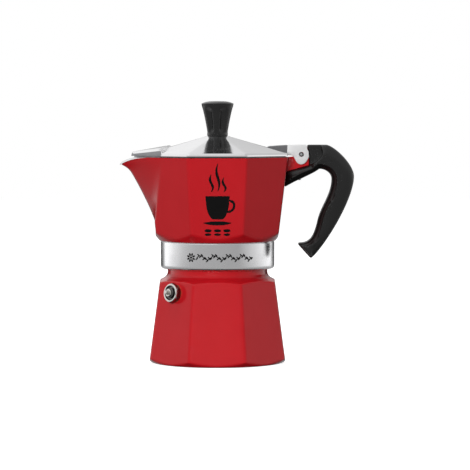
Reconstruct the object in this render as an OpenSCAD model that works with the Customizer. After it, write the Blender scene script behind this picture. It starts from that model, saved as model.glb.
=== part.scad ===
// Stovetop moka pot: an eight-sided boiler, a coffee funnel, and a collector with a lid and a handle.
// Millimetres, +Z up. The origin is the centre of the base; the spout points to -X, the handle to +X.

/* [Boiler] */
// Distance from the axis to a facet at the foot
foot_apothem = 42.8; // [40:0.1:52]
// Distance from the axis to a facet at the shoulder
shoulder_apothem = 36; // [34.5:0.1:39]
// Height of the shoulder above the table
shoulder_z = 52.4; // [43:0.1:70]
// Thickness of the boiler's side wall
boiler_wall = 3.2; // [2:0.1:4]
// Thickness of the boiler's floor
boiler_floor = 4; // [2.5:0.1:6]
// Height that the bevel round the foot takes off each corner
foot_bevel = 3.6; // [1:0.1:6]

/* [Screw joint] */
// Radius of the boiler's mouth
mouth_r = 28.5; // [24:0.1:29.5]
// Thickness of the boiler's neck, with its thread
neck_wall = 2.9; // [2.4:0.1:3.4]
// Height of bare neck between the shoulder and the collector's belt
neck_gap = 6.9; // [6:0.1:12]
// Length of neck that enters the belt
neck_entry = 8.7; // [8:0.1:12]
// Rise of the thread in one turn
thread_pitch = 3; // [2.5:0.1:3.5]
// Depth of the thread
thread_depth = 1.3; // [0.8:0.1:1.6]
// Radial clearance between the two threads
thread_clearance = 0.15; // [0.1:0.01:0.3]

/* [Funnel and filters] */
// Thickness of the funnel's spun wall
funnel_wall = 0.8; // [0.5:0.1:1.2]
// Thickness of the funnel's rim
funnel_rim_t = 0.6; // [0.4:0.1:1]
// Depth of the coffee basket below its rim
basket_depth = 21.6; // [15:0.1:26]
// Height of the cone below the basket
funnel_cone_h = 12; // [8:0.1:15]
// Outer radius of the funnel's tube
funnel_tube_r = 4.6; // [3.5:0.1:6]
// Gap between the end of the tube and the boiler's floor
tube_floor_gap = 4.5; // [3:0.1:10]
// Thickness of the two filter plates
filter_t = 0.8; // [0.5:0.1:1.2]
// Radius of one hole in a filter plate
filter_hole_r = 0.9; // [0.5:0.1:1.1]
// Number of rings of holes in a filter plate
filter_rings = 4; // [2:1:4]
// Thickness of the gasket
gasket_t = 3.4; // [2.5:0.1:5]
// Width of the gasket's ring
gasket_w = 7.5; // [6:0.1:9]

/* [Collector] */
// Thickness of the belt outside the gasket
belt_wall = 3.7; // [2.5:0.1:5]
// Height of the belt
belt_h = 17.3; // [16.5:0.1:21]
// Height of the eight-sided body above the belt
collector_h = 52.7; // [48:0.1:64]
// Distance from the axis to a facet at the foot of the body
body_apothem = 37.8; // [37.3:0.1:40]
// Distance from the axis to a facet at the rim
rim_apothem = 44; // [42:0.1:52]
// Thickness of the collector's wall
collector_wall = 2.7; // [2:0.1:3.4]
// Distance from the axis to the tip of the spout
spout_reach = 63; // [61:0.1:66]
// Height of the spout's root above the foot of the body
spout_root_h = 12; // [8:0.1:20]
// Radius of the bore in the coffee column
column_bore_r = 3.4; // [2.5:0.1:4.5]
// Thickness of the coffee column's wall
column_wall = 2; // [1.5:0.1:3]
// Gap between the top of the column and the rim
column_gap = 11; // [8:0.1:20]

/* [Lid and knob] */
// Rise of the lid from its skirt to the knob
lid_rise = 10.6; // [8:0.1:16]
// Height of the lid's upright skirt
skirt_h = 2.5; // [2:0.1:4]
// Thickness of the lid
lid_wall = 1.9; // [1.4:0.1:2.5]
// Distance from the axis to the front of the lid's beak
beak_reach = 54.5; // [50:0.1:58]
// Height of the knob
knob_h = 22; // [18:0.1:28]
// Radius of the knob's top
knob_top_r = 10.1; // [9:0.1:13]
// Radius of the knob's neck
knob_neck_r = 6.5; // [6:0.1:8]
// Number of flutes round the knob
knob_flutes = 6; // [3:1:8]

/* [Hinge and handle] */
// Radius of the hinge pin
pin_r = 1.4; // [1.1:0.1:1.8]
// Distance of the hinge pin outside the rim
pin_out = 8.6; // [8.4:0.1:10]
// Height of the hinge pin above the rim
pin_up = 1.8; // [1:0.1:2.5]
// Width of the collector's knuckle and of the handle's tongue
knuckle_w = 9.2; // [7:0.1:11]
// Thickness of each of the lid's two ears
ear_t = 1.8; // [1.4:0.1:2.6]
// Width of the handle's grip
handle_w = 17; // [15:0.1:21]
// Radius of the screws that hold the handle and the knob
screw_r = 2; // [1.5:0.1:2.3]

/* [Safety valve] */
// Height of the valve on its facet
valve_z = 45; // [30:0.1:46]
// Distance across the flats of the valve's hexagon
valve_flats = 11; // [10:0.1:13]
// Radius of the valve's shank
valve_shank_r = 3.9; // [3.6:0.1:4.5]
// Radius of the valve's pin
valve_pin_r = 1.2; // [0.8:0.1:1.3]
// Number of turns in the valve's spring
spring_turns = 6; // [4:1:8]

/* [Hidden] */

$fn = 96;
eps = 0.5;                       // how far a cutting shape runs past the face it cuts
fit = 0.05;                      // radial clearance of a running or screwed fit
slip = 0.1;                      // clearance of a piece that drops into its place
root = sqrt(2);                  // from an apothem to the point where its diagonal facets meet
side_gap = 0.3;                  // gap between the knuckle and each ear

enamel = [0.72, 0.13, 0.16];
bare_metal = [0.78, 0.78, 0.79];
black_plastic = [0.10, 0.10, 0.11];
plated = [0.70, 0.66, 0.58];
rubber = [0.88, 0.88, 0.85];

// Heights of the joint, from the shoulder up
neck_r = mouth_r + neck_wall;
thread_core_r = neck_r - thread_depth;
belt_z = shoulder_z + neck_gap;
neck_top_z = belt_z + neck_entry;
gasket_z = neck_top_z + funnel_rim_t;
seat_z = gasket_z + gasket_t;
body_z = belt_z + belt_h;
rim_z = body_z + collector_h;

// Radii of the joint, from the neck outwards
nut_root_r = neck_r + thread_clearance;
nut_crest_r = thread_core_r + thread_clearance;
gasket_r = neck_r + 0.6;
gasket_bore_r = gasket_r - gasket_w;
belt_r = gasket_r + slip + belt_wall;
funnel_r = mouth_r - 0.6;
funnel_rim_r = neck_r - 0.6;
plate_r = gasket_bore_r + 2.3;

// The funnel, from its rim down
basket_floor_z = gasket_z - basket_depth;
tube_flange_r = funnel_r - funnel_wall - slip;
cone_mouth_r = tube_flange_r - 2;
cone_end_z = basket_floor_z - funnel_cone_h;
tube_end_z = boiler_floor + tube_floor_gap;

// The collector's inside
floor_t = 3.2;
chamber_z = seat_z + filter_t + floor_t;
dome_top_z = seat_z + filter_t + 13;
column_top_z = rim_z - column_gap;
spout_root_z = body_z + spout_root_h;

// The lid and the knob
lid_gap = 0.1;
lid_z = rim_z + lid_gap;
skirt_z = lid_z + skirt_h;
knob_z = skirt_z + lid_rise;
knob_seat_r = knob_neck_r + 0.4;
insert_r = screw_r + 1.5;
insert_h = 9;

// The hinge
pin_x = rim_apothem + pin_out;
pin_z = rim_z + pin_up;
knuckle_r = pin_r + 3;
ear_in = knuckle_w / 2 + side_gap;
ear_out = ear_in + ear_t;
tab_z = pin_z + 6;               // level of the tab's and the handle's flat top
tab_end_x = rim_apothem + 0.1;
tongue_x = pin_x + knuckle_r + 0.6;
handle_screw_x = pin_x - 3.4;
body_lean = (rim_apothem - body_apothem) / collector_h;
brace_slope = 0.285;
brace_x = (rim_apothem - body_lean * (rim_z - pin_z + 8.3 + brace_slope * pin_x))
    / (1 - body_lean * brace_slope);

// The valve
boiler_lean = atan((foot_apothem - shoulder_apothem) / shoulder_z);
valve_azimuth = 225;
washer_t = 0.6;
valve_front = washer_t + 4.1;
shank_end = -(boiler_wall + 3.6);
chamber_r = valve_shank_r - 1.3;
chamber_end = valve_front - 1.3;
retainer_t = 1.2;
seal_t = 0.7;
head_t = 0.8;
head_r = chamber_r - 0.3;
pin_reach = valve_front + 4.2;

// ---- shapes that several pieces use ----

// Corners of an upright octagon, with its facets facing the axes
function octagon(a) = [for (k = [0:7]) let (t = 22.5 + 45 * k) a / cos(22.5) * [cos(t), sin(t)]];

// Octagon whose -X side is pushed out to a beak, along its diagonal facets
function beaked(a, reach) =
    let (half = root * a - reach, o = octagon(a))
    [o[0], o[1], o[2], [-reach, half], [-reach, -half], o[5], o[6], o[7]];

function at_height(flat, z) = [for (p = flat) [p[0], p[1], z]];

function mix(a, b, t) = a + (b - a) * t;

// Points of a cubic curve, without its last one
function curve(a, b, c, d, steps = 8) =
    [for (i = [0:steps - 1]) let (t = i / steps, s = 1 - t)
        s * s * s * a + 3 * s * s * t * b + 3 * s * t * t * c + t * t * t * d];

// Closed skin over a stack of rings that run anticlockwise round the way the stack goes
module loft(rings) {
    n = len(rings[0]);
    last = (len(rings) - 1) * n;
    polyhedron(
        points = [for (ring = rings) each ring],
        faces = concat(
            [[for (j = [0:n - 1]) j]],
            [[for (j = [n - 1:-1:0]) last + j]],
            [for (i = [0:len(rings) - 2], j = [0:n - 1], upper = [0, 1])
                let (a = i * n + j, b = i * n + (j + 1) % n)
                upper == 1 ? [a, a + n, b + n] : [a, b + n, b]]),
        convexity = 6);
}

// Straight-sided eight-sided body
module octagonal(a0, z0, a1, z1) {
    loft([at_height(octagon(a0), z0), at_height(octagon(a1), z1)]);
}

// Sweep of a flat section [radius, height] along a rising helix
module helix(section, z0, turns, pitch, steps) {
    count = ceil(turns * steps);
    loft([for (i = [0:count])
        let (t = 360 * i / steps, z = z0 + pitch * i / steps)
        [for (p = section) [p[0] * cos(t), p[0] * sin(t), z + p[1]]]]);
}

// Ridge of a screw thread, between its buried root and its crest
module thread_ridge(root_r, crest_r, z0, z1) {
    wide = thread_pitch * 0.32;
    narrow = thread_pitch * 0.09;
    section = root_r < crest_r
        ? [[root_r, -wide], [root_r, wide], [crest_r, narrow], [crest_r, -narrow]]
        : [[crest_r, -narrow], [crest_r, narrow], [root_r, wide], [root_r, -wide]];
    helix(section, z0, (z1 - z0) / thread_pitch, thread_pitch, 60);
}

module ring(outer, inner, h) {
    difference() {
        cylinder(r = outer, h = h);
        translate([0, 0, -eps]) cylinder(r = inner, h = h + 2 * eps);
    }
}

// Plate standing in the XZ plane, its outline given as [x, z]
module upright(outline, w) {
    rotate([90, 0, 0]) linear_extrude(height = w, center = true) polygon(outline);
}

// ---- boiler ----

function boiler_apothem(z) = mix(foot_apothem, shoulder_apothem, z / shoulder_z);

// Outline turned round the axis: foot bevel, open middle, coved shoulder and bare neck
module boiler_turning() {
    corner = foot_apothem / cos(22.5);
    cove = (shoulder_apothem - neck_r) * 0.87;
    cove_h = min(cove, neck_gap - 1);
    foot = corner - foot_bevel * 1.25;
    rotate_extrude()
        polygon(concat(
            [[0, 0], [foot, 0], [corner + 1, foot_bevel + 0.8], [corner + 1, shoulder_z - 8],
             [shoulder_apothem + 6, shoulder_z - 3]],
            [for (k = [0:5]) let (t = 15 * k + 15)
                [neck_r + cove * (1 - sin(t)) * 1.15, shoulder_z + cove_h * (1 - cos(t))]],
            [[neck_r, shoulder_z + cove_h + 0.2], [neck_r, belt_z + 1], [thread_core_r, belt_z + 1.6],
             [thread_core_r, neck_top_z], [0, neck_top_z]]));
}

module boiler_hollow() {
    deep = boiler_apothem(boiler_floor) - boiler_wall;
    high = shoulder_apothem - boiler_wall;
    rotate_extrude()
        polygon([[0, boiler_floor], [deep - 3.4, boiler_floor], [deep - 1.3, boiler_floor + 0.9],
                 [deep - 0.4, boiler_floor + 3.2], [high + 0.2, shoulder_z - 4],
                 [high - 0.6, shoulder_z - 2.4], [mouth_r, shoulder_z + 1.2],
                 [mouth_r, neck_top_z + eps], [0, neck_top_z + eps]]);
}

module at_valve() {
    rotate([0, 0, valve_azimuth])
        translate([boiler_apothem(valve_z), 0, valve_z])
            rotate([0, 90 - boiler_lean, 0])
                children();
}

module boiler() {
    color(enamel) {
        difference() {
            union() {
                intersection() {
                    octagonal(foot_apothem, 0, boiler_apothem(shoulder_z + 3), shoulder_z + 3);
                    boiler_turning();
                }
                translate([0, 0, shoulder_z - 2]) intersection() {
                    translate([0, 0, 2 - shoulder_z]) boiler_turning();
                    cylinder(r = neck_r + 3, h = neck_top_z - shoulder_z + 2 + eps);
                }
            }
            boiler_hollow();
            at_valve() translate([0, 0, shank_end - 2])
                cylinder(r = valve_shank_r + slip, h = 8 - shank_end);
        }
        thread_ridge(thread_core_r - 0.5, neck_r, belt_z + 2.7, neck_top_z - 1.2);
    }
}

// ---- safety valve, along its own axis, outwards from the facet ----

module valve_washer() {
    color(plated) at_valve() translate([0, 0, 0.01])
        ring(valve_flats / 2 + 0.2, valve_shank_r + slip, washer_t - 0.01);
}

module valve_body() {
    hex_r = valve_flats / 2 / cos(30);
    disc_r = valve_flats / 2 + 0.35;
    color(plated) at_valve() difference() {
        union() {
            intersection() {
                translate([0, 0, washer_t]) cylinder(r = hex_r, h = valve_front - washer_t, $fn = 6);
                rotate_extrude()
                    polygon([[0, 0], [hex_r, 0], [hex_r, valve_front - 0.9], [disc_r, valve_front - 0.5],
                             [disc_r - 0.5, valve_front], [0, valve_front]]);
            }
            translate([0, 0, shank_end]) cylinder(r = valve_shank_r, h = valve_front - shank_end);
            translate([0, 0, valve_front - eps]) cylinder(r = 3.5, h = 0.7 + eps);
            translate([0, 0, valve_front]) cylinder(r = 2.5, h = 1.7);
        }
        translate([0, 0, shank_end - eps]) cylinder(r = chamber_r, h = chamber_end - shank_end + eps);
        cylinder(r = valve_pin_r + fit, h = pin_reach);
    }
}

module valve_retainer() {
    color(plated) at_valve() translate([0, 0, shank_end]) ring(chamber_r - fit, 1.3, retainer_t);
}

module valve_seal() {
    color(rubber) at_valve() translate([0, 0, shank_end + retainer_t]) cylinder(r = head_r, h = seal_t);
}

module valve_piston() {
    head_z = shank_end + retainer_t + seal_t;
    color(plated) at_valve() {
        translate([0, 0, head_z]) cylinder(r = head_r, h = head_t);
        translate([0, 0, head_z]) cylinder(r = valve_pin_r, h = pin_reach - head_z - 0.3);
        translate([0, 0, pin_reach - 0.3]) cylinder(r1 = valve_pin_r, r2 = valve_pin_r - 0.3, h = 0.3);
    }
}

module valve_spring() {
    wire_r = 0.26;
    coil_r = (valve_pin_r + chamber_r) / 2;
    spring_z = shank_end + retainer_t + seal_t + head_t;
    room = chamber_end - spring_z - 2 * wire_r;
    section = [for (j = [0:5]) [coil_r + wire_r * cos(-60 * j), wire_r * sin(-60 * j)]];
    color(plated) at_valve()
        helix(section, spring_z + wire_r, spring_turns, room / spring_turns, 16);
}

// ---- funnel and filters ----

module funnel_basket() {
    color(bare_metal) difference() {
        union() {
            translate([0, 0, neck_top_z]) cylinder(r = funnel_rim_r, h = funnel_rim_t);
            translate([0, 0, basket_floor_z]) cylinder(r = funnel_r, h = basket_depth);
        }
        translate([0, 0, basket_floor_z + funnel_wall]) cylinder(r = funnel_r - funnel_wall, h = basket_depth);
        translate([0, 0, basket_floor_z - eps]) cylinder(r = cone_mouth_r + slip, h = 2);
    }
}

// Cone and tube that hang from the basket's inner lip
module funnel_tube() {
    wall = funnel_wall;
    top = basket_floor_z + funnel_wall;
    color(bare_metal) rotate_extrude()
        polygon([[funnel_tube_r - wall, tube_end_z], [funnel_tube_r, tube_end_z],
                 [funnel_tube_r, cone_end_z], [cone_mouth_r, top - wall - 0.3], [cone_mouth_r, top],
                 [tube_flange_r, top], [tube_flange_r, top + wall], [cone_mouth_r - wall, top + wall],
                 [cone_mouth_r - wall, top - wall], [funnel_tube_r - wall, cone_end_z + 0.4]]);
}

// Disc with rings of holes, six more in each ring than in the one inside it
module filter_disc(r, z) {
    step = (r - 4) / filter_rings;
    translate([0, 0, z]) difference() {
        cylinder(r = r, h = filter_t);
        translate([0, 0, -eps]) cylinder(r = filter_hole_r, h = filter_t + 2 * eps, $fn = 24);
        for (k = [1:filter_rings], j = [0:6 * k - 1])
            rotate([0, 0, 60 * j / k]) translate([k * step, 0, -eps])
                cylinder(r = filter_hole_r, h = filter_t + 2 * eps, $fn = 24);
    }
}

module funnel_filter() {
    color(bare_metal) filter_disc(tube_flange_r, basket_floor_z + 2 * funnel_wall);
}

module filter_plate() {
    color(bare_metal) filter_disc(plate_r, seat_z);
}

module gasket() {
    color(rubber) translate([0, 0, gasket_z]) ring(gasket_r, gasket_bore_r, gasket_t);
}

// ---- collector ----

function body_side(z) = mix(body_apothem, rim_apothem, (z - body_z) / collector_h);

// Section of the collector at a height: an octagon whose -X side opens into the spout.
// The spout's sides run from the diagonal facets to its prow; wall is how far inside the skin it lies.
function collector_section(z, prow, wall) =
    let (
        a = body_side(z) - wall,
        o = octagon(a),
        t = max(0, (z - spout_root_z) / (rim_z - spout_root_z)),
        edge_x = mix(-a, -a + 9.7, t),
        edge_y = root * a + edge_x,
        keel = [-prow + wall * 1.3, 0],
        cheek = mix([edge_x, edge_y], [min(-a, -prow_line(z) + wall * 1.3), 0], 0.82))
    [o[0], o[1], o[2], [edge_x, edge_y], cheek, keel, [cheek[0], -cheek[1]], [edge_x, -edge_y],
     o[5], o[6], o[7]];

// The prow rises in a straight line, and its lip turns out to the tip and back to the rim
function prow_line(z) = max(body_side(z), mix(body_side(spout_root_z), spout_reach - 1.2,
                        (z - spout_root_z) / (rim_z - spout_root_z)));

module collector_skin(wall, z0) {
    lip_z = rim_z - 8.6;
    tip_z = rim_z - 5.4;
    straight = [for (k = [0:5]) let (z = mix(spout_root_z, lip_z, k / 5))
        at_height(collector_section(z, prow_line(z), wall), z)];
    loft(concat(
        [at_height(collector_section(z0, body_side(z0), wall), z0)],
        straight,
        [at_height(collector_section(tip_z, spout_reach, wall), tip_z),
         at_height(collector_section(rim_z - 3.2, spout_reach - 0.6, wall), rim_z - 3.2),
         at_height(collector_section(rim_z - 1, spout_reach - 3.6, wall), rim_z - 1),
         at_height(collector_section(rim_z + (wall > 0 ? 1 : 0), spout_reach - 6.4, wall),
                   rim_z + (wall > 0 ? 1 : 0))]));
}

// Rounded foot of the body, as turned
module collector_turning() {
    corner = body_apothem / cos(22.5);
    rotate_extrude()
        polygon([[0, body_z], [belt_r, body_z], [body_apothem - 0.6, body_z + 1],
                 [corner + 0.6, body_z + 5], [rim_apothem + 30, body_z + 40],
                 [rim_apothem + 30, rim_z + 5], [0, rim_z + 5]]);
}

// Chamber that holds the coffee, down to a conical floor round the column
module chamber_turning() {
    inner = belt_r - collector_wall;
    rotate_extrude()
        polygon([[column_bore_r + column_wall, dome_top_z + floor_t + 0.5], [gasket_bore_r + 2, chamber_z],
                 [inner - 2, chamber_z], [inner, chamber_z + 1],
                 [body_side(body_z + 8) / cos(22.5), body_z + 8], [rim_apothem + 40, rim_z - 20],
                 [rim_apothem + 40, rim_z + 5], [column_bore_r + column_wall, rim_z + 5]]);
}

// Top of the handle's brace, which runs out under the bracket from the wall
function brace_top(x) = pin_z - 8.3 + brace_slope * (x - pin_x);

// Bracket that carries the hinge pin and takes the handle's screw
module collector_bracket() {
    foot = brace_top(handle_screw_x);
    difference() {
        union() {
            upright([[brace_x - 0.5, brace_top(brace_x - 0.5) + slip],
                     [tongue_x - 0.4, brace_top(tongue_x - 0.4) + slip],
                     [tongue_x - 0.6, pin_z], [pin_x - knuckle_r, pin_z], [pin_x - knuckle_r, rim_z],
                     [rim_apothem - 1.6, rim_z]], knuckle_w);
            translate([pin_x, 0, pin_z]) rotate([90, 0, 0])
                cylinder(r = knuckle_r, h = knuckle_w, center = true);
        }
        translate([pin_x, 0, pin_z]) rotate([90, 0, 0])
            cylinder(r = pin_r + fit / 2, h = knuckle_w + 2, center = true);
        translate([handle_screw_x, 0, foot - 2]) cylinder(r = screw_r + fit, h = 7);
    }
}

module collector() {
    color(enamel) {
        difference() {
            union() {
                intersection() {
                    collector_skin(0, body_z - 1);
                    collector_turning();
                }
                translate([0, 0, belt_z]) cylinder(r = belt_r, h = belt_h + 0.5);
            }
            intersection() {
                collector_skin(collector_wall, body_z - 3);
                chamber_turning();
            }
            translate([0, 0, belt_z - eps]) cylinder(r = nut_root_r, h = neck_entry + eps);
            translate([0, 0, neck_top_z - 0.2]) cylinder(r = gasket_r + slip, h = seat_z - neck_top_z + 0.2);
            translate([0, 0, seat_z - eps]) cylinder(r = plate_r + slip, h = filter_t + eps);
            translate([0, 0, seat_z + filter_t - 0.01])
                cylinder(r1 = plate_r - 1.5, r2 = column_bore_r, h = dome_top_z - seat_z - filter_t);
            translate([0, 0, seat_z + filter_t])
                cylinder(r = column_bore_r, h = column_top_z - seat_z - filter_t - 2.5);
            for (side = [-1, 1])
                translate([0, side * column_bore_r, column_top_z - 5.5]) rotate([90, 0, 0])
                    cylinder(r = 2.2, h = 8, center = true);
        }
        difference() {
            column_r = column_bore_r + column_wall;
            translate([0, 0, dome_top_z]) cylinder(r = column_r, h = column_top_z - dome_top_z);
            translate([0, 0, dome_top_z - eps])
                cylinder(r = column_bore_r, h = column_top_z - dome_top_z - 2);
            translate([0, 0, column_top_z - 5.5]) rotate([90, 0, 0])
                cylinder(r = 2.2, h = 4 * column_r, center = true);
        }
        thread_ridge(nut_root_r + 0.5, nut_crest_r, belt_z + 2.7 + thread_pitch / 2, neck_top_z - 1.2);
        collector_bracket();
    }
}

// ---- handle ----

// Outline of the handle in the XZ plane, from the pin
function handle_outline() =
    let (
        p = [pin_x, pin_z],
        wall_low = pin_z - 20.8)
    concat(
        [[brace_x + slip, brace_top(brace_x + slip)], [tongue_x, brace_top(tongue_x)]],
        [for (t = [0, 15, 30, 40]) p + (tongue_x - pin_x) * [cos(t), sin(t)]],
        [[pin_x + (tongue_x - pin_x) * cos(40), tab_z]],
        curve(p + [16.1, 6], p + [20.9, 5.2], p + [32.7, -5.6], p + [33.3, -13.6]),
        curve(p + [33.3, -13.6], p + [33.3, -27.1], p + [17.4, -54.6], p + [6.3, -65.5]),
        [p + [5.2, -64.6]],
        curve(p + [-1.7, -57.1], p + [-2.2, -55.8], p + [-1.8, -55.6], p + [-0.6, -55.6], 4),
        curve(p + [-0.6, -55.6], p + [6.4, -55.6], p + [8.4, -50.6], p + [10.7, -40.6]),
        curve(p + [10.7, -40.6], p + [12.9, -32.1], p + [19.3, -25], p + [19.3, -15.6]),
        curve(p + [19.3, -15.6], p + [19.3, -11.6], p + [14.9, -9.2], p + [11.4, -9.1]),
        curve(p + [11.4, -9.1], p + [8.9, -11.6], p + [-0.6, -15.3], p + [-7, -18.8], 4),
        [[body_side(wall_low) + slip, wall_low]]);

// Room on each side of the tongue for the lid's ears to swing
function pocket_outline() =
    let (p = [pin_x, pin_z])
    concat([p + [-20, 8], p + [-20, -7]],
           [[pin_x - 2, brace_top(pin_x - 2) + 0.9]],
           curve(p + [5, -6.9], p + [10.6, -4.6], p + [14, -1], p + [13.4, 2], 8),
           [p + [12.4, 8]]);

module handle() {
    foot = brace_top(handle_screw_x);
    color(black_plastic) difference() {
        upright(handle_outline(), handle_w);
        for (side = [-1, 1])
            translate([0, side * (handle_w + knuckle_w) / 2, 0]) upright(pocket_outline(), handle_w);
        translate([handle_screw_x, 0, foot - 12]) cylinder(r = screw_r + fit, h = 14);
        translate([handle_screw_x, 0, foot - 14]) cylinder(r = screw_r + 1.7, h = 9);
    }
}

// Screw up through the brace into the bracket
module handle_screw() {
    foot = brace_top(handle_screw_x);
    color(plated) translate([handle_screw_x, 0, foot - 5]) difference() {
        union() {
            translate([0, 0, -2]) cylinder(r = screw_r + 1.5, h = 2);
            cylinder(r = screw_r, h = 9);
        }
        translate([0, 0, -2]) cube([1, 2 * screw_r + 4, 1.4], center = true);
    }
}

module hinge_pin() {
    color(plated) translate([pin_x, 0, pin_z]) rotate([90, 0, 0])
        cylinder(r = pin_r, h = 2 * ear_out + 0.5, center = true);
}

// ---- lid ----

// Eight-sided cone with a skirt and a beak; sink is how far inside the skin it lies
module lid_form(sink) {
    a = rim_apothem - sink;
    reach = beak_reach - sink * 1.2;
    half = root * a - reach;
    low = lid_z - (sink > 0 ? eps : 0);
    edge = skirt_z - sink * 0.9;
    ridge_x = -rim_apothem * 0.66;
    ridge_z = mix(skirt_z, knob_z, 0.36) - sink;
    flank = [-(a - 9.7), root * a - (a - 9.7)];
    loft([at_height(beaked(a, reach), low), at_height(beaked(a, reach), edge)]);
    octagonal(a, edge, knob_seat_r - 0.4, knob_z - sink);
    hull() polyhedron(
        points = [[-reach, half, edge - 0.4], [-reach, -half, edge - 0.4], [flank[0], -flank[1], edge],
                  [flank[0], flank[1], edge], [ridge_x, 0, ridge_z], [-reach + 1.5, 0, edge + 0.3],
                  [ridge_x, 0, edge - 0.4]],
        faces = [[0, 1, 5], [1, 2, 5], [2, 4, 5], [4, 3, 5], [3, 0, 5], [0, 6, 1], [1, 6, 2],
                 [2, 6, 4], [4, 6, 3], [3, 6, 0]]);
}

// Flat tab that leads from the cone to the two ears
module lid_tab() {
    start = rim_apothem * 0.6;
    upright([[start, skirt_z + 0.5], [tab_end_x, skirt_z - 0.5], [tab_end_x, tab_z], [start, tab_z]],
            2 * ear_out - ear_t);
    upright([[tab_end_x - 1.4, lid_z + 1.5], [tab_end_x, lid_z + 1.5], [tab_end_x, tab_z],
             [tab_end_x - 1.4, tab_z]], 2 * ear_out);
}

// One ear, from the tab round under the pin
module lid_ear() {
    ear_r = pin_r + 3.6;
    arc = [for (k = [0:9]) let (t = 15 - 22 * k) [pin_x, pin_z - 1] + ear_r * [cos(t), sin(t)]];
    upright(concat([[tab_end_x - 1.4, tab_z], [tab_end_x - 1.4, lid_z + 1.5], [pin_x - ear_r - 0.2, lid_z + 1.2]],
                   [for (k = [9:-1:0]) arc[k]],
                   [[pin_x + 3.4, tab_z]]), ear_t);
}

module lid() {
    color(bare_metal) difference() {
        union() {
            lid_form(0);
            lid_tab();
            for (side = [-1, 1]) translate([0, side * (ear_in + ear_t / 2), 0]) lid_ear();
            translate([0, 0, knob_z - 1.5]) cylinder(r = knob_seat_r, h = 1.5);
        }
        lid_form(lid_wall);
        translate([pin_x, 0, pin_z]) rotate([90, 0, 0])
            cylinder(r = pin_r + fit, h = 2 * ear_out + 2, center = true);
        translate([0, 0, knob_z - 8]) cylinder(r = screw_r + fit, h = 10);
    }
}

// ---- knob ----

function knob_profile() = concat(
    [[0, 0], [knob_neck_r, 0]],
    curve([knob_neck_r, 1], [knob_neck_r + 0.2, knob_h * 0.4], [knob_top_r - 1.3, knob_h * 0.6],
          [knob_top_r, knob_h - 2.2], 6),
    [[knob_top_r, knob_h - 2.2], [knob_top_r - 0.1, knob_h - 1.8], [knob_top_r - 0.6, knob_h - 1.5]],
    [for (k = [1:4]) [(knob_top_r - 0.6) * (1 - k / 4), knob_h - 1.5 * pow(1 - k / 4, 2)]]);

module knob() {
    color(black_plastic) translate([0, 0, knob_z]) difference() {
        rotate_extrude() polygon(knob_profile());
        for (k = [0:knob_flutes - 1])
            rotate([0, 0, 234 + 360 * k / knob_flutes]) translate([knob_neck_r + 2.3, 0, 3.4])
                rotate([0, 10, 0]) {
                    cylinder(r = 2, h = knob_h - 8.4, $fn = 32);
                    translate([0, 0, knob_h - 8.4]) sphere(r = 2, $fn = 32);
                    sphere(r = 2, $fn = 32);
                }
        translate([0, 0, -eps]) cylinder(r = insert_r + fit, h = insert_h + eps + 0.2);
    }
}

module knob_insert() {
    color(plated) translate([0, 0, knob_z]) difference() {
        cylinder(r = insert_r, h = insert_h);
        translate([0, 0, -eps]) cylinder(r = screw_r + fit, h = insert_h);
    }
}

// Screw up through the lid into the knob's insert
module knob_screw() {
    under = knob_z - lid_wall;
    color(plated) difference() {
        union() {
            translate([0, 0, under - 2]) cylinder(r = screw_r + 1.6, h = 2);
            translate([0, 0, under]) cylinder(r = screw_r, h = lid_wall + insert_h - 1.2);
        }
        translate([0, 0, under - 2]) cube([1, 2 * screw_r + 4, 1.4], center = true);
    }
}

boiler();
valve_washer();
valve_body();
valve_retainer();
valve_spring();
valve_piston();
valve_seal();
funnel_basket();
funnel_tube();
funnel_filter();
collector();
gasket();
filter_plate();
handle();
handle_screw();
hinge_pin();
lid();
knob();
knob_insert();
knob_screw();
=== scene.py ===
"""Stovetop moka pot: the visible pieces and their finishes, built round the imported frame."""
import logging
import math
from collections.abc import Sequence
from dataclasses import dataclass, field
from enum import Enum
from functools import partial

import bmesh
import bpy
import numpy as np
from mathutils import Matrix, Vector


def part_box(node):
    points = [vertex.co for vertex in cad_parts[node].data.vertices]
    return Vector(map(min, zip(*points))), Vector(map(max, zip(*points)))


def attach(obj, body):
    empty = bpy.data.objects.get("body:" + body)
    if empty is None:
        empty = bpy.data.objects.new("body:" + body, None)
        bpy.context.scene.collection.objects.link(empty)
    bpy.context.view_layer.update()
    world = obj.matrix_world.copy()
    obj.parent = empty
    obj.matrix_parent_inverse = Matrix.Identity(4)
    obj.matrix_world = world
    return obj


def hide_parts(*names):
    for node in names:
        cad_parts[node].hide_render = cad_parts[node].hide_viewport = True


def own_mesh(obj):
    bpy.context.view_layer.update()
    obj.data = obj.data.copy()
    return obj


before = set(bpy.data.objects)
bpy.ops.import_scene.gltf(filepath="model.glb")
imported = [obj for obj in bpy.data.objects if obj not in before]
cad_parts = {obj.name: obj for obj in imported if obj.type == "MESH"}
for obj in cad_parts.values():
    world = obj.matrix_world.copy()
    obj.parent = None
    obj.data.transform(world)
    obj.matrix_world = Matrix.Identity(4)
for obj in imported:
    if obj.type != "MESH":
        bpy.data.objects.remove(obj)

log = logging.getLogger("moka")
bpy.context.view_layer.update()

MM = 0.001
ROOT_TWO = math.sqrt(2)
Flat = tuple[float, float]
Place = tuple[float, float, float]
Colour = tuple[float, float, float]
FOOT_APOTHEM = 42.8  # of the boiler's facets, at the table
SHOULDER_APOTHEM = 36.0
SHOULDER_Z = 52.4
VALVE_Z = 45.0
THREAD_Z = 62.0  # where the boiler's thread starts
HINGE = (52.6, 131.1)  # X and Z of the hinge pin
SCREW_X = 49.2  # of the handle's screw
PIN_HOLE_R = 1.42
SCREW_HOLE_R = 2.05


def cad_box(node: str) -> tuple[Vector, Vector]:
    """Lowest and highest corner of a CAD node, in millimetres."""
    low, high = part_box(node)
    return low / MM, high / MM


def mix(a: float, b: float, t: float) -> float:
    """Value a share t of the way from a to b."""
    return a + (b - a) * t


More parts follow.
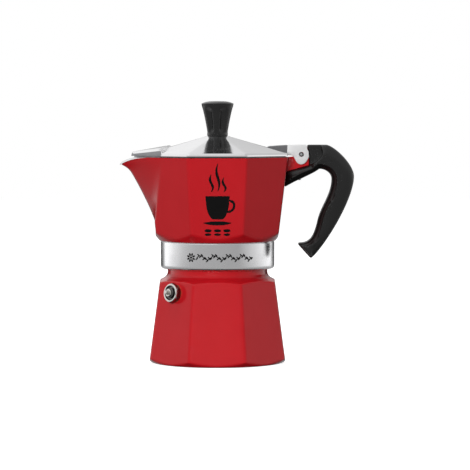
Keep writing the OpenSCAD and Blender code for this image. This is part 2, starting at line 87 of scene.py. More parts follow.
def smooth_min(a: float, b: float, soft: float) -> float:
    """Smaller of two values, with the change between them rounded over soft."""
    near = max(soft - abs(a - b), 0.0) / soft
    return min(a, b) - near * near * soft / 4


def smooth_max(a: float, b: float, soft: float) -> float:
    """Larger of two values, with the change between them rounded over soft."""
    return -smooth_min(-a, -b, soft)


def ease(low: float, high: float, value: float) -> float:
    """Soft step from 0 at low to 1 at high."""
    t = min(max((value - low) / (high - low), 0.0), 1.0)
    return t * t * (3 - 2 * t)


def along(knots: Sequence[Flat], value: float) -> float:
    """Straight-line reading of a curve given by its knots.

    Args:
        knots: pairs of place and height, in rising order of place.
        value: the place to read.

    Returns:
        The height there, held level past both ends.
    """
    if value <= knots[0][0]:
        return knots[0][1]
    for (a, at_a), (b, at_b) in zip(knots, knots[1:]):
        if value <= b:
            return mix(at_a, at_b, (value - a) / (b - a))
    return knots[-1][1]


def cubic(a: Flat, b: Flat, c: Flat, d: Flat, steps: int = 12) -> list[Flat]:
    """Points of a cubic curve, without its last one."""
    points = []
    for i in range(steps):
        t = i / steps
        s = 1 - t
        weights = (s * s * s, 3 * s * s * t, 3 * s * t * t, t * t * t)
        points.append(tuple(sum(w * p[k] for w, p in zip(weights, (a, b, c, d))) for k in (0, 1)))
    return points


def octagon(apothem: float) -> list[Flat]:
    """Corners of an octagon whose facets face the axes."""
    reach = apothem / math.cos(math.pi / 8)
    turns = [math.radians(22.5 + 45 * k) for k in range(8)]
    return [(reach * math.cos(t), reach * math.sin(t)) for t in turns]


SIDE_RUN = (0.02, 0.12, 0.24, 0.37, 0.5, 0.63, 0.76, 0.88, 0.98)


def rounded(corners: Sequence[Flat], cuts: Sequence[float], bend: int = 6) -> list[Flat]:
    """Outline whose corners are rounded.

    Args:
        corners: corners of the outline, anticlockwise.
        cuts: how far before each corner its rounding starts.
        bend: pieces that each rounding is made of.

    Returns:
        The same count of points for any outline with that count of corners.
    """
    count = len(corners)
    ends = []
    for i, corner in enumerate(corners):
        here = Vector(corner)
        back = (Vector(corners[i - 1]) - here).normalized() * cuts[i]
        ahead = (Vector(corners[(i + 1) % count]) - here).normalized() * cuts[i]
        ends.append((here + back, here, here + ahead))
    points: list[Flat] = []
    for i, (start, corner, end) in enumerate(ends):
        for k in range(bend + 1):
            t = k / bend
            p = start * (1 - t) ** 2 + corner * 2 * t * (1 - t) + end * t * t
            points.append((p.x, p.y))
        after = ends[(i + 1) % count][0]
        points.extend(tuple(end.lerp(after, t)) for t in SIDE_RUN)
    return points


def turned_down(outline: Sequence[Flat], limit: float, soft: float = 0.8) -> list[Flat]:
    """Outline cut back to a round limit, as a lathe would cut it."""
    points = []
    for x, y in outline:
        reach = math.hypot(x, y)
        share = smooth_min(reach, limit, soft) / reach
        points.append((x * share, y * share))
    return points


def circle_like(outline: Sequence[Flat], radius: float) -> list[Flat]:
    """Circle whose points lie in the same directions as an outline's."""
    return [(x * radius / math.hypot(x, y), y * radius / math.hypot(x, y)) for x, y in outline]


def circle(radius: float, count: int = 96) -> list[Flat]:
    """Evenly spaced points of a circle."""
    turns = [2 * math.pi * k / count for k in range(count)]
    return [(radius * math.cos(t), radius * math.sin(t)) for t in turns]


def at_height(outline: Sequence[Flat], z: float) -> list[Place]:
    """Outline lifted to a height."""
    return [(x, y, z) for x, y in outline]


def free_depth(outline: Sequence[Flat], most: float) -> list[float]:
    """How far each point of an outline can move inwards before it meets another side.

    Args:
        outline: anticlockwise outline.
        most: the furthest that any point has to move.

    Returns:
        A depth for each point, no more than most.
    """
    starts = np.array(outline)
    runs = np.roll(starts, -1, axis=0) - starts
    squares = np.maximum((runs ** 2).sum(axis=1), 1e-12)
    rooms = []
    for i in range(len(outline)):
        low, high, depth = 0.0, most, most
        for _ in range(10):
            here = np.array(moved_in(outline, i, depth))
            share = np.clip(((here - starts) * runs).sum(axis=1) / squares, 0, 1)
            gap = np.linalg.norm(here - starts - runs * share[:, None], axis=1).min()
            if gap >= 0.985 * depth:
                low = depth
            else:
                high = depth
            depth = mix(low, high, 0.5)
        rooms.append(low)
    return rooms


def moved_in(outline: Sequence[Flat], i: int, depth: float) -> Flat:
    """Point of an anticlockwise outline, moved inwards with a mitre."""
    here = Vector(outline[i])
    into = (here - Vector(outline[i - 1])).normalized()
    out = (Vector(outline[(i + 1) % len(outline)]) - here).normalized()
    side = Vector((-into.y - out.y, into.x + out.x)).normalized()
    share = max(side.dot(Vector((-into.y, into.x))), 0.35)
    place = here + side * depth / share
    return (place.x, place.y)


def inset(outline: Sequence[Flat], depth: float, rooms: Sequence[float]) -> list[Flat]:
    """Anticlockwise outline moved inwards by depth, less where there isn't the room."""
    return [moved_in(outline, i, min(depth, room)) for i, room in enumerate(rooms)]


class Skin:
    """Points and faces of a piece, in millimetres, before it becomes a mesh."""

    def __init__(self) -> None:
        """Starts with nothing."""
        self.points: list[Place] = []
        self.faces: list[tuple[int, ...]] = []
        self.tints: list[int] = []

    def ring(self, points: Sequence[Place]) -> list[int]:
        """Adds points and returns their numbers."""
        start = len(self.points)
        self.points.extend(points)
        return list(range(start, start + len(points)))

    def band(self, low: Sequence[int], high: Sequence[int], tint: int = 0) -> None:
        """Joins two rings with a band of quads."""
        count = len(low)
        for j in range(count):
            k = (j + 1) % count
            self.faces.append((low[j], low[k], high[k], high[j]))
            self.tints.append(tint)

    def stack(self, rings: Sequence[Sequence[Place]], tints: Sequence[int] = (),
              shut: bool = False) -> list[list[int]]:
        """Joins a row of rings.

        Args:
            rings: rings with the same count of points, outside first.
            tints: which finish each band has, the first one where left out.
            shut: whether the last ring joins the first.

        Returns:
            The numbers of each ring's points.
        """
        numbers = [self.ring(r) for r in rings]
        pairs = list(zip(numbers, numbers[1:]))
        if shut:
            pairs.append((numbers[-1], numbers[0]))
        for i, (low, high) in enumerate(pairs):
            self.band(low, high, tints[i] if i < len(tints) else 0)
        return numbers

    def fan(self, ring: Sequence[int], up: bool, tint: int = 0) -> None:
        """Closes a ring with a fan round its middle."""
        middle = sum((Vector(self.points[i]) for i in ring), Vector()) / len(ring)
        hub = self.ring([tuple(middle)])[0]
        for j, here in enumerate(ring):
            after = ring[(j + 1) % len(ring)]
            self.faces.append((here, after, hub) if up else (after, here, hub))
            self.tints.append(tint)

    def lid(self, ring: Sequence[int], up: bool, tint: int = 0) -> None:
        """Closes a ring with one flat face."""
        self.faces.append(tuple(ring) if up else tuple(reversed(ring)))
        self.tints.append(tint)

    def build(self, name: str, finishes: Sequence[bpy.types.Material],
              crease: float = 40) -> bpy.types.Object:
        """Turns the skin into an object at the origin.

        Args:
            name: the piece's name.
            finishes: its finishes, in the order that the tints number them.
            crease: angle in degrees past which an edge is left sharp.

        Returns:
            The new object.
        """
        mesh = bpy.data.meshes.new(name)
        mesh.from_pydata([(x * MM, y * MM, z * MM) for x, y, z in self.points], [], self.faces)
        for finish in finishes:
            mesh.materials.append(finish)
        mesh.polygons.foreach_set("material_index", self.tints)
        tidy_mesh(mesh, crease)
        return link(bpy.data.objects.new(name, mesh))


def tidy_mesh(mesh: bpy.types.Mesh, crease: float = 40) -> None:
    """Merges doubles, turns the faces outwards and shades the mesh smooth up to a crease angle."""
    work = bmesh.new()
    work.from_mesh(mesh)
    bmesh.ops.remove_doubles(work, verts=work.verts, dist=1e-6)
    bmesh.ops.dissolve_degenerate(work, edges=work.edges, dist=1e-6)
    bmesh.ops.recalc_face_normals(work, faces=work.faces)
    work.to_mesh(mesh)
    work.free()
    mesh.shade_smooth()
    mesh.set_sharp_from_angle(angle=math.radians(crease))


def link(piece: bpy.types.Object) -> bpy.types.Object:
    """Puts an object in the scene and returns it."""
    bpy.context.scene.collection.objects.link(piece)
    return piece


def baked(piece: bpy.types.Object, crease: float = 40) -> bpy.types.Object:
    """Swaps a piece's mesh for what its modifiers make of it, and removes them."""
    bpy.context.view_layer.update()
    graph = bpy.context.evaluated_depsgraph_get()
    mesh = bpy.data.meshes.new_from_object(piece.evaluated_get(graph))
    piece.modifiers.clear()
    piece.data = mesh
    mesh.shade_smooth()
    mesh.set_sharp_from_angle(angle=math.radians(crease))
    return piece


def carved(piece: bpy.types.Object, cutters: Sequence[bpy.types.Object]) -> bpy.types.Object:
    """Cuts the shape of each cutter out of a piece and removes the cutters."""
    for cutter in cutters:
        cut = piece.modifiers.new("cut", "BOOLEAN")
        cut.operation = "DIFFERENCE"
        cut.solver = "MANIFOLD"
        cut.object = cutter
    baked(piece)
    for cutter in cutters:
        bpy.data.objects.remove(cutter)
    return piece


def rod(start: Place, end: Place, radius: float, count: int = 48) -> bpy.types.Object:
    """Plain cylinder that cuts a hole from one place to another, in millimetres."""
    a, b = Vector(start), Vector(end)
    turn = (b - a).to_track_quat("Z", "Y").to_matrix().to_4x4()
    skin = Skin()
    rings = []
    for place in (a, b):
        move = Matrix.Translation(place) @ turn
        rings.append([tuple(move @ Vector((x, y, 0))) for x, y in circle(radius, count)])
    numbers = skin.stack(rings)
    skin.lid(numbers[0], up=False)
    skin.lid(numbers[1], up=True)
    return skin.build("cutter", [])


def slab(name: str, outline: Sequence[Flat], half: float, edge: float, finish: bpy.types.Material | None,
         middle: float = 0.0, bend: int = 4, crown: float = 1.0) -> bpy.types.Object:
    """Plate that stands in the XZ plane, with rounded edges.

    Args:
        name: the piece's name.
        outline: its outline as X and Z, anticlockwise as seen from -Y.
        half: half its thickness.
        edge: how far its rounded edges fall.
        finish: its material, if it shows.
        middle: Y of its middle plane.
        bend: pieces that each rounded edge is made of.
        crown: how many times further the edges reach in than they fall.

    Returns:
        The new object.
    """
    layers = []
    for k in range(bend + 1):
        t = math.pi / 2 * k / bend
        layers.append((crown * edge * (1 - math.sin(t)), half - edge * (1 - math.cos(t))))
    rooms = free_depth(outline, crown * edge)
    flats = [(inset(outline, depth, rooms), y) for depth, y in layers]
    rings = [[(x, middle - y, z) for x, z in flat] for flat, y in flats]
    rings += [[(x, middle + y, z) for x, z in flat] for flat, y in reversed(flats)]
    skin = Skin()
    numbers = skin.stack(rings)
    skin.lid(numbers[0], up=False)
    skin.lid(numbers[-1], up=True)
    return skin.build(name, [finish] if finish else [], crease=50)


def maths_node(tree: bpy.types.NodeTree, operation: str, *values: object) -> bpy.types.NodeSocket:
    """Maths node on sockets or numbers, and its result."""
    node = tree.nodes.new("ShaderNodeMath")
    node.operation = operation
    for i, value in enumerate(values):
        if isinstance(value, bpy.types.NodeSocket):
            tree.links.new(value, node.inputs[i])
        else:
            node.inputs[i].default_value = value
    return node.outputs["Value"]


# ---- finishes ----


class Slot(Enum):
    """Material slots of the record."""

    ENAMEL = "enamel_red"
    CAST = "cast_aluminium"
    SPUN = "spun_aluminium"
    BRASS = "plated_brass"
    ZINC = "zinc_steel"
    SPRING = "spring_steel"
    PLASTIC = "black_plastic"
    SILICONE = "silicone"


class Effects:
    """Shader node groups that several finishes share."""

    def __init__(self) -> None:
        """Builds each group once."""
        self.mottle = self._mottle()
        self.scratches = self._scratches()
        self.worn_edge = self._worn_edge()

    @staticmethod
    def _tree(name: str, inputs: dict[str, float], outputs: Sequence[str]) -> tuple:
        """New group with float inputs and outputs, and its two end nodes."""
        tree = bpy.data.node_groups.new(name, "ShaderNodeTree")
        for title, value in inputs.items():
            socket = tree.interface.new_socket(name=title, in_out="INPUT", socket_type="NodeSocketFloat")
            socket.default_value = value
        for title in outputs:
            tree.interface.new_socket(name=title, in_out="OUTPUT", socket_type="NodeSocketFloat")
        return tree, tree.nodes.new("NodeGroupInput"), tree.nodes.new("NodeGroupOutput")

    def _mottle(self) -> bpy.types.NodeTree:
        """Soft cloudy change between a low and a high value."""
        tree, start, end = self._tree("mottle", {"Scale": 60, "Low": 0, "High": 1}, ["Value"])
        place = tree.nodes.new("ShaderNodeTexCoord")
        noise = tree.nodes.new("ShaderNodeTexNoise")
        noise.inputs["Detail"].default_value = 4
        spread = tree.nodes.new("ShaderNodeMapRange")
        spread.inputs["From Min"].default_value = 0.3
        spread.inputs["From Max"].default_value = 0.7
        tree.links.new(place.outputs["Object"], noise.inputs["Vector"])
        tree.links.new(start.outputs["Scale"], noise.inputs["Scale"])
        tree.links.new(noise.outputs["Fac"], spread.inputs["Value"])
        tree.links.new(start.outputs["Low"], spread.inputs["To Min"])
        tree.links.new(start.outputs["High"], spread.inputs["To Max"])
        tree.links.new(spread.outputs["Result"], end.inputs["Value"])
        return tree

    def _scratches(self) -> bpy.types.NodeTree:
        """Fine lines, long along the stretched directions, as a height."""
        inputs = {"Across X": 1, "Across Y": 1, "Across Z": 40, "Scale": 100}
        tree, start, end = self._tree("scratches", inputs, ["Height"])
        place = tree.nodes.new("ShaderNodeTexCoord")
        squeeze = tree.nodes.new("ShaderNodeCombineXYZ")
        times = tree.nodes.new("ShaderNodeVectorMath")
        times.operation = "MULTIPLY"
        noise = tree.nodes.new("ShaderNodeTexNoise")
        noise.inputs["Detail"].default_value = 6
        noise.inputs["Roughness"].default_value = 0.7
        for axis in "XYZ":
            tree.links.new(start.outputs[f"Across {axis}"], squeeze.inputs[axis])
        tree.links.new(place.outputs["Object"], times.inputs[0])
        tree.links.new(squeeze.outputs["Vector"], times.inputs[1])
        tree.links.new(times.outputs["Vector"], noise.inputs["Vector"])
        tree.links.new(start.outputs["Scale"], noise.inputs["Scale"])
        tree.links.new(noise.outputs["Fac"], end.inputs["Height"])
        return tree

    def _worn_edge(self) -> bpy.types.NodeTree:
        """Mask that is 1 on raised edges and fades to 0 on the flat."""
        tree, start, end = self._tree("worn_edge", {"Start": 0.52, "Full": 0.6, "Amount": 1}, ["Mask"])
        shape = tree.nodes.new("ShaderNodeNewGeometry")
        spread = tree.nodes.new("ShaderNodeMapRange")
        tree.links.new(shape.outputs["Pointiness"], spread.inputs["Value"])
        tree.links.new(start.outputs["Start"], spread.inputs["From Min"])
        tree.links.new(start.outputs["Full"], spread.inputs["From Max"])
        tree.links.new(start.outputs["Amount"], spread.inputs["To Max"])
        tree.links.new(spread.outputs["Result"], end.inputs["Mask"])
        return tree


EFFECTS = Effects()


@dataclass(frozen=True)
class Finish:
    """One finish: its colours, its gloss and the fine detail of its surface.

    The second colour shows in the mottle and on raised edges.
    """

    name: str
    colour: Colour
    second: Colour
    roughness: Flat
    metallic: float = 0.0
    coat: float = 0.0
    coat_roughness: float = 0.03
    mottle_scale: float = 60.0
    edge: float = 0.3
    grain_scale: float = 400.0
    grain_across: Place = (1.0, 1.0, 1.0)
    grain_depth: float = 0.0
    specular: float = 0.5
    soft_light: float = 0.0

    def group(self, tree: bpy.types.NodeTree, effect: bpy.types.NodeTree,
              values: dict[str, float]) -> bpy.types.Node:
        """Places a shared effect in the material with its own values."""
        node = tree.nodes.new("ShaderNodeGroup")
        node.node_tree = effect
        for title, value in values.items():
            node.inputs[title].default_value = value
        return node

    def make(self) -> bpy.types.Material:
        """Builds the material."""
        material = bpy.data.materials.new(self.name)
        material.use_nodes = True
        tree = material.node_tree
        surface = tree.nodes["Principled BSDF"]
        surface.inputs["Metallic"].default_value = self.metallic
        surface.inputs["Specular IOR Level"].default_value = self.specular
        surface.inputs["Coat Weight"].default_value = self.coat
        surface.inputs["Coat Roughness"].default_value = self.coat_roughness
        surface.inputs["Subsurface Weight"].default_value = self.soft_light
        surface.inputs["Subsurface Scale"].default_value = 0.003
        cloud = self.group(tree, EFFECTS.mottle, {"Scale": self.mottle_scale, "Low": 0, "High": 1})
        edge = self.group(tree, EFFECTS.worn_edge, {"Amount": self.edge})
        low, high = self.roughness
        gloss = self.group(tree, EFFECTS.mottle, {"Scale": self.mottle_scale * 2.3, "Low": low, "High": high})
        tint = tree.nodes.new("ShaderNodeMix")
        tint.data_type = "RGBA"
        tint.inputs["A"].default_value = (*self.colour, 1)
        tint.inputs["B"].default_value = (*self.second, 1)
        share = maths_node(tree, "MULTIPLY_ADD", cloud.outputs["Value"], 0.5, edge.outputs["Mask"])
        share.node.use_clamp = True
        tree.links.new(share, tint.inputs["Factor"])
        tree.links.new(tint.outputs["Result"], surface.inputs["Base Color"])
        tree.links.new(gloss.outputs["Value"], surface.inputs["Roughness"])
        if self.grain_depth:
            values = {f"Across {axis}": much for axis, much in zip("XYZ", self.grain_across)}
            lines = self.group(tree, EFFECTS.scratches, {**values, "Scale": self.grain_scale})
            bump = tree.nodes.new("ShaderNodeBump")
            bump.inputs["Strength"].default_value = 1.0
            bump.inputs["Distance"].default_value = self.grain_depth * MM
            tree.links.new(lines.outputs["Height"], bump.inputs["Height"])
            tree.links.new(bump.outputs["Normal"], surface.inputs["Normal"])
        return material


class Finishes:
    """Every finish of the pot, made once."""

    def __init__(self) -> None:
        """Makes the materials."""
        self.enamel = Finish("red enamel", (0.55, 0.008, 0.014), (0.60, 0.011, 0.018), (0.11, 0.17),
                             edge=0.5, grain_scale=260, grain_depth=0.004, specular=0.25).make()
        self.polished = Finish("polished aluminium", (0.86, 0.86, 0.87), (0.80, 0.80, 0.81), (0.07, 0.15),
                               metallic=1.0, mottle_scale=45, grain_scale=180, grain_across=(1, 6, 1),
                               grain_depth=0.004).make()
        self.brushed = Finish("brushed aluminium", (0.80, 0.80, 0.81), (0.72, 0.72, 0.74), (0.20, 0.30),
                              metallic=1.0, grain_scale=60, grain_across=(1, 1, 60), grain_depth=0.012).make()
        self.cast = Finish("bare cast aluminium", (0.70, 0.70, 0.71), (0.60, 0.60, 0.62), (0.30, 0.45),
                           metallic=1.0, mottle_scale=90, grain_scale=500, grain_depth=0.02).make()
        # Painted shade: rough cast aluminium made dark for the lid's tab and the beak's steep sides.
        self.shaded_cast = Finish("rough cast aluminium darkened as painted shade", (0.24, 0.24, 0.25), (0.32, 0.32, 0.33), (0.30, 0.42),
                           metallic=1.0, mottle_scale=90, grain_scale=500, grain_depth=0.01).make()
        self.satin = Finish("satin aluminium", (0.92, 0.92, 0.92), (0.88, 0.88, 0.89), (0.38, 0.48),
                            metallic=0.45, mottle_scale=90, grain_scale=500, grain_depth=0.004).make()
        self.spun = Finish("spun aluminium", (0.76, 0.76, 0.77), (0.68, 0.68, 0.70), (0.22, 0.34),
                           metallic=1.0, grain_scale=60, grain_across=(1, 1, 40), grain_depth=0.008).make()
        self.nickel = Finish("nickel-plated brass", (0.66, 0.64, 0.61), (0.74, 0.72, 0.68), (0.08, 0.18),
                             metallic=1.0, mottle_scale=200, grain_scale=900, grain_depth=0.002).make()
        # Painted shade: near-black metal for the valve's hexagon sides and groove, the gap under the lid's
        # skirt and the sunk rings round the pin's ends.
        self.painted_shade_metal = Finish("near-black metal as painted shade", (0.10, 0.10, 0.10), (0.20, 0.19, 0.18),
                                  (0.16, 0.28), metallic=1.0, mottle_scale=200).make()
        self.brass = Finish("bare brass", (0.80, 0.66, 0.38), (0.86, 0.76, 0.52), (0.14, 0.26),
                            metallic=1.0, mottle_scale=300).make()
        self.zinc = Finish("bright zinc", (0.62, 0.62, 0.64), (0.74, 0.74, 0.75), (0.16, 0.30),
                           metallic=1.0, mottle_scale=250, grain_scale=900, grain_depth=0.002).make()
        self.wire = Finish("spring wire", (0.42, 0.42, 0.44), (0.55, 0.55, 0.57), (0.25, 0.35),
                           metallic=1.0).make()
        self.plastic = Finish("black phenolic", (0.004, 0.004, 0.004), (0.008, 0.008, 0.008), (0.22, 0.31),
                              mottle_scale=70, edge=0.25, grain_scale=900, grain_depth=0.002).make()
        self.silicone = Finish("milky silicone", (0.78, 0.77, 0.72), (0.70, 0.69, 0.64), (0.45, 0.6),
                               soft_light=0.3, grain_scale=500, grain_depth=0.01).make()
        self.ink = Finish("black print", (0.002, 0.002, 0.002), (0.004, 0.004, 0.004), (0.45, 0.6),
                          specular=0.15).make()


def place_piece(piece: bpy.types.Object, body: str, slot: Slot, *nodes: str) -> None:
    """Fixes a finished piece to its body and hides the CAD nodes that it stands for."""
    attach(piece, body)
    if nodes:
        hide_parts(*nodes)
    log.info("%s: %d faces on %s", piece.name, len(piece.data.polygons), body)


def dress(node: str, finish: bpy.types.Material) -> None:
    """Gives a CAD node that keeps its shape a better finish."""
    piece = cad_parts[node]
    piece.data.materials.clear()
    piece.data.materials.append(finish)
    log.info("%s: CAD shape, %s", node, finish.name)


# ---- geometry nodes ----


class NodeTools:
    """Geometry Nodes trees for what winds or repeats."""

    def __init__(self) -> None:
        """Builds the trees."""
        self.coil_tree, self.coil_inputs = self._coil()
        self.scroll_tree, self.scroll_inputs = self._scroll()

    @staticmethod
    def _tree(name: str, inputs: Sequence[tuple[str, str]]) -> tuple:
        """New tree with its inputs, its end nodes, and each input's identifier by name."""
        tree = bpy.data.node_groups.new(name, "GeometryNodeTree")
        names = {}
        for title, kind in inputs:
            socket = tree.interface.new_socket(name=title, in_out="INPUT", socket_type=kind)
            names[title] = socket.identifier
        tree.interface.new_socket(name="Geometry", in_out="OUTPUT", socket_type="NodeSocketGeometry")
        return tree, tree.nodes.new("NodeGroupInput"), tree.nodes.new("NodeGroupOutput"), names

    def _coil(self) -> tuple:
        """Ridge or wire of a four-cornered section wound along a rising helix."""
        sizes = ("Radius", "Base", "Crest", "Depth", "Turns", "Height", "Start")
        inputs = [(s, "NodeSocketFloat") for s in sizes] + [("Steps", "NodeSocketInt"),
                                                            ("Finish", "NodeSocketMaterial")]
        tree, start, end, names = self._tree("wound ridge", inputs)
        spiral = tree.nodes.new("GeometryNodeCurveSpiral")
        lift = tree.nodes.new("GeometryNodeTransform")
        move = tree.nodes.new("ShaderNodeCombineXYZ")
        upright = tree.nodes.new("GeometryNodeSetCurveNormal")
        upright.mode = "Z_UP"
        section = tree.nodes.new("GeometryNodeCurvePrimitiveQuadrilateral")
        section.mode = "TRAPEZOID"
        section.inputs["Offset"].default_value = 0.0
        sweep = tree.nodes.new("GeometryNodeCurveToMesh")
        sweep.inputs["Fill Caps"].default_value = True
        real = tree.nodes.new("GeometryNodeRealizeInstances")
        dye = tree.nodes.new("GeometryNodeSetMaterial")
        link_up = tree.links.new
        taken = (("Steps", spiral, "Resolution"), ("Turns", spiral, "Rotations"),
                 ("Radius", spiral, "Start Radius"), ("Radius", spiral, "End Radius"),
                 ("Height", spiral, "Height"), ("Start", move, "Z"), ("Base", section, "Bottom Width"),
                 ("Crest", section, "Top Width"), ("Depth", section, "Height"), ("Finish", dye, "Material"))
        for title, node, socket in taken:
            link_up(start.outputs[title], node.inputs[socket])
        link_up(spiral.outputs["Curve"], lift.inputs["Geometry"])
        link_up(move.outputs["Vector"], lift.inputs["Translation"])
        link_up(lift.outputs["Geometry"], upright.inputs["Curve"])
        link_up(upright.outputs["Curve"], sweep.inputs["Curve"])
        link_up(section.outputs["Curve"], sweep.inputs["Profile Curve"])
        link_up(sweep.outputs["Mesh"], real.inputs["Geometry"])
        link_up(real.outputs["Geometry"], dye.inputs["Geometry"])
        link_up(dye.outputs["Geometry"], end.inputs["Geometry"])
        return tree, names

    def _scroll(self) -> tuple:
        """Waving stem wrapped round the belt, with a leaf on each side in turn."""
        sizes = ("Radius", "Height", "Start", "End", "Wave", "Swing", "Stem", "Leaf")
        inputs = [(s, "NodeSocketFloat") for s in sizes] + [("Leaves", "NodeSocketInt"),
                                                            ("Finish", "NodeSocketMaterial")]
        tree, start, end, names = self._tree("belt scroll", inputs)
        link_up = tree.links.new

        maths = partial(maths_node, tree)

        def wrapped(line: bpy.types.NodeSocket, share: bpy.types.NodeSocket,
                    rise: object) -> bpy.types.NodeSocket:
            """Lays a line's points round the belt, by their share of its length."""
            span = maths("SUBTRACT", start.outputs["End"], start.outputs["Start"])
            turn = maths("ADD", start.outputs["Start"], maths("MULTIPLY", span, share))
            wave = maths("SINE", maths("MULTIPLY", share, start.outputs["Wave"]))
            high = maths("ADD", start.outputs["Height"], maths("MULTIPLY", wave, start.outputs["Swing"]))
            place = tree.nodes.new("ShaderNodeCombineXYZ")
            link_up(maths("MULTIPLY", start.outputs["Radius"], maths("SINE", turn)), place.inputs["X"])
            back = maths("MULTIPLY", start.outputs["Radius"], maths("COSINE", turn))
            link_up(maths("MULTIPLY", back, -1.0), place.inputs["Y"])
            link_up(maths("ADD", high, rise), place.inputs["Z"])
            lay = tree.nodes.new("GeometryNodeSetPosition")
            link_up(line, lay.inputs["Geometry"])
            link_up(place.outputs["Vector"], lay.inputs["Position"])
            return lay.outputs["Geometry"]

        number = tree.nodes.new("GeometryNodeInputIndex").outputs["Index"]
        fine = tree.nodes.new("GeometryNodeMeshLine")
        fine.inputs["Count"].default_value = 120
        to_curve = tree.nodes.new("GeometryNodeMeshToCurve")
        link_up(wrapped(fine.outputs["Mesh"], maths("DIVIDE", number, 119.0), 0.0), to_curve.inputs["Mesh"])
        bead = tree.nodes.new("GeometryNodeCurvePrimitiveCircle")
        bead.inputs["Resolution"].default_value = 8
        link_up(start.outputs["Stem"], bead.inputs["Radius"])
        stem = tree.nodes.new("GeometryNodeCurveToMesh")
        stem.inputs["Fill Caps"].default_value = True
        link_up(to_curve.outputs["Curve"], stem.inputs["Curve"])
        link_up(bead.outputs["Curve"], stem.inputs["Profile Curve"])

        coarse = tree.nodes.new("GeometryNodeMeshLine")
        link_up(start.outputs["Leaves"], coarse.inputs["Count"])
        last = maths("SUBTRACT", start.outputs["Leaves"], 1.0)
        side = maths("SUBTRACT", maths("MULTIPLY", maths("MODULO", number, 2.0), 2.0), 1.0)
        rise = maths("MULTIPLY", side, maths("MULTIPLY", start.outputs["Leaf"], 0.62))
        spots = wrapped(coarse.outputs["Mesh"], maths("DIVIDE", number, last), rise)
        leaf = tree.nodes.new("GeometryNodeMeshUVSphere")
        leaf.inputs["Segments"].default_value = 10
        leaf.inputs["Rings"].default_value = 7
        link_up(start.outputs["Leaf"], leaf.inputs["Radius"])
        lean = tree.nodes.new("ShaderNodeCombineXYZ")
        link_up(maths("MULTIPLY", side, 0.75), lean.inputs["Y"])
        span = maths("SUBTRACT", start.outputs["End"], start.outputs["Start"])
        turn = maths("ADD", start.outputs["Start"], maths("MULTIPLY", span, maths("DIVIDE", number, last)))
        link_up(turn, lean.inputs["Z"])
        grow = tree.nodes.new("GeometryNodeInstanceOnPoints")
        grow.inputs["Scale"].default_value = (0.95, 0.10, 0.36)
        link_up(spots, grow.inputs["Points"])
        link_up(leaf.outputs["Mesh"], grow.inputs["Instance"])
        link_up(lean.outputs["Vector"], grow.inputs["Rotation"])
        real = tree.nodes.new("GeometryNodeRealizeInstances")
        both = tree.nodes.new("GeometryNodeJoinGeometry")
        dye = tree.nodes.new("GeometryNodeSetMaterial")
        link_up(grow.outputs["Instances"], both.inputs["Geometry"])
        link_up(stem.outputs["Mesh"], both.inputs["Geometry"])
        link_up(both.outputs["Geometry"], real.inputs["Geometry"])
        link_up(real.outputs["Geometry"], dye.inputs["Geometry"])
        link_up(start.outputs["Finish"], dye.inputs["Material"])
        link_up(dye.outputs["Geometry"], end.inputs["Geometry"])
        return tree, names

    @staticmethod
    def grow(name: str, tree: bpy.types.NodeTree, names: dict[str, str],
             values: dict[str, object]) -> bpy.types.Object:
        """Runs a tree and returns its result as a plain piece.

        Args:
            name: the piece's name.
            tree: the Geometry Nodes tree.
            names: identifier of each input, by its name.
            values: value of each input, lengths in metres.

        Returns:
            A piece with no modifiers.
        """
        piece = link(bpy.data.objects.new(name, bpy.data.meshes.new(name)))
        modifier = piece.modifiers.new("grow", "NODES")
        modifier.node_group = tree
        for title, value in values.items():
            modifier[names[title]] = value
        baked(piece)
        tidy_mesh(piece.data)
        return piece


# ---- sub-assemblies ----


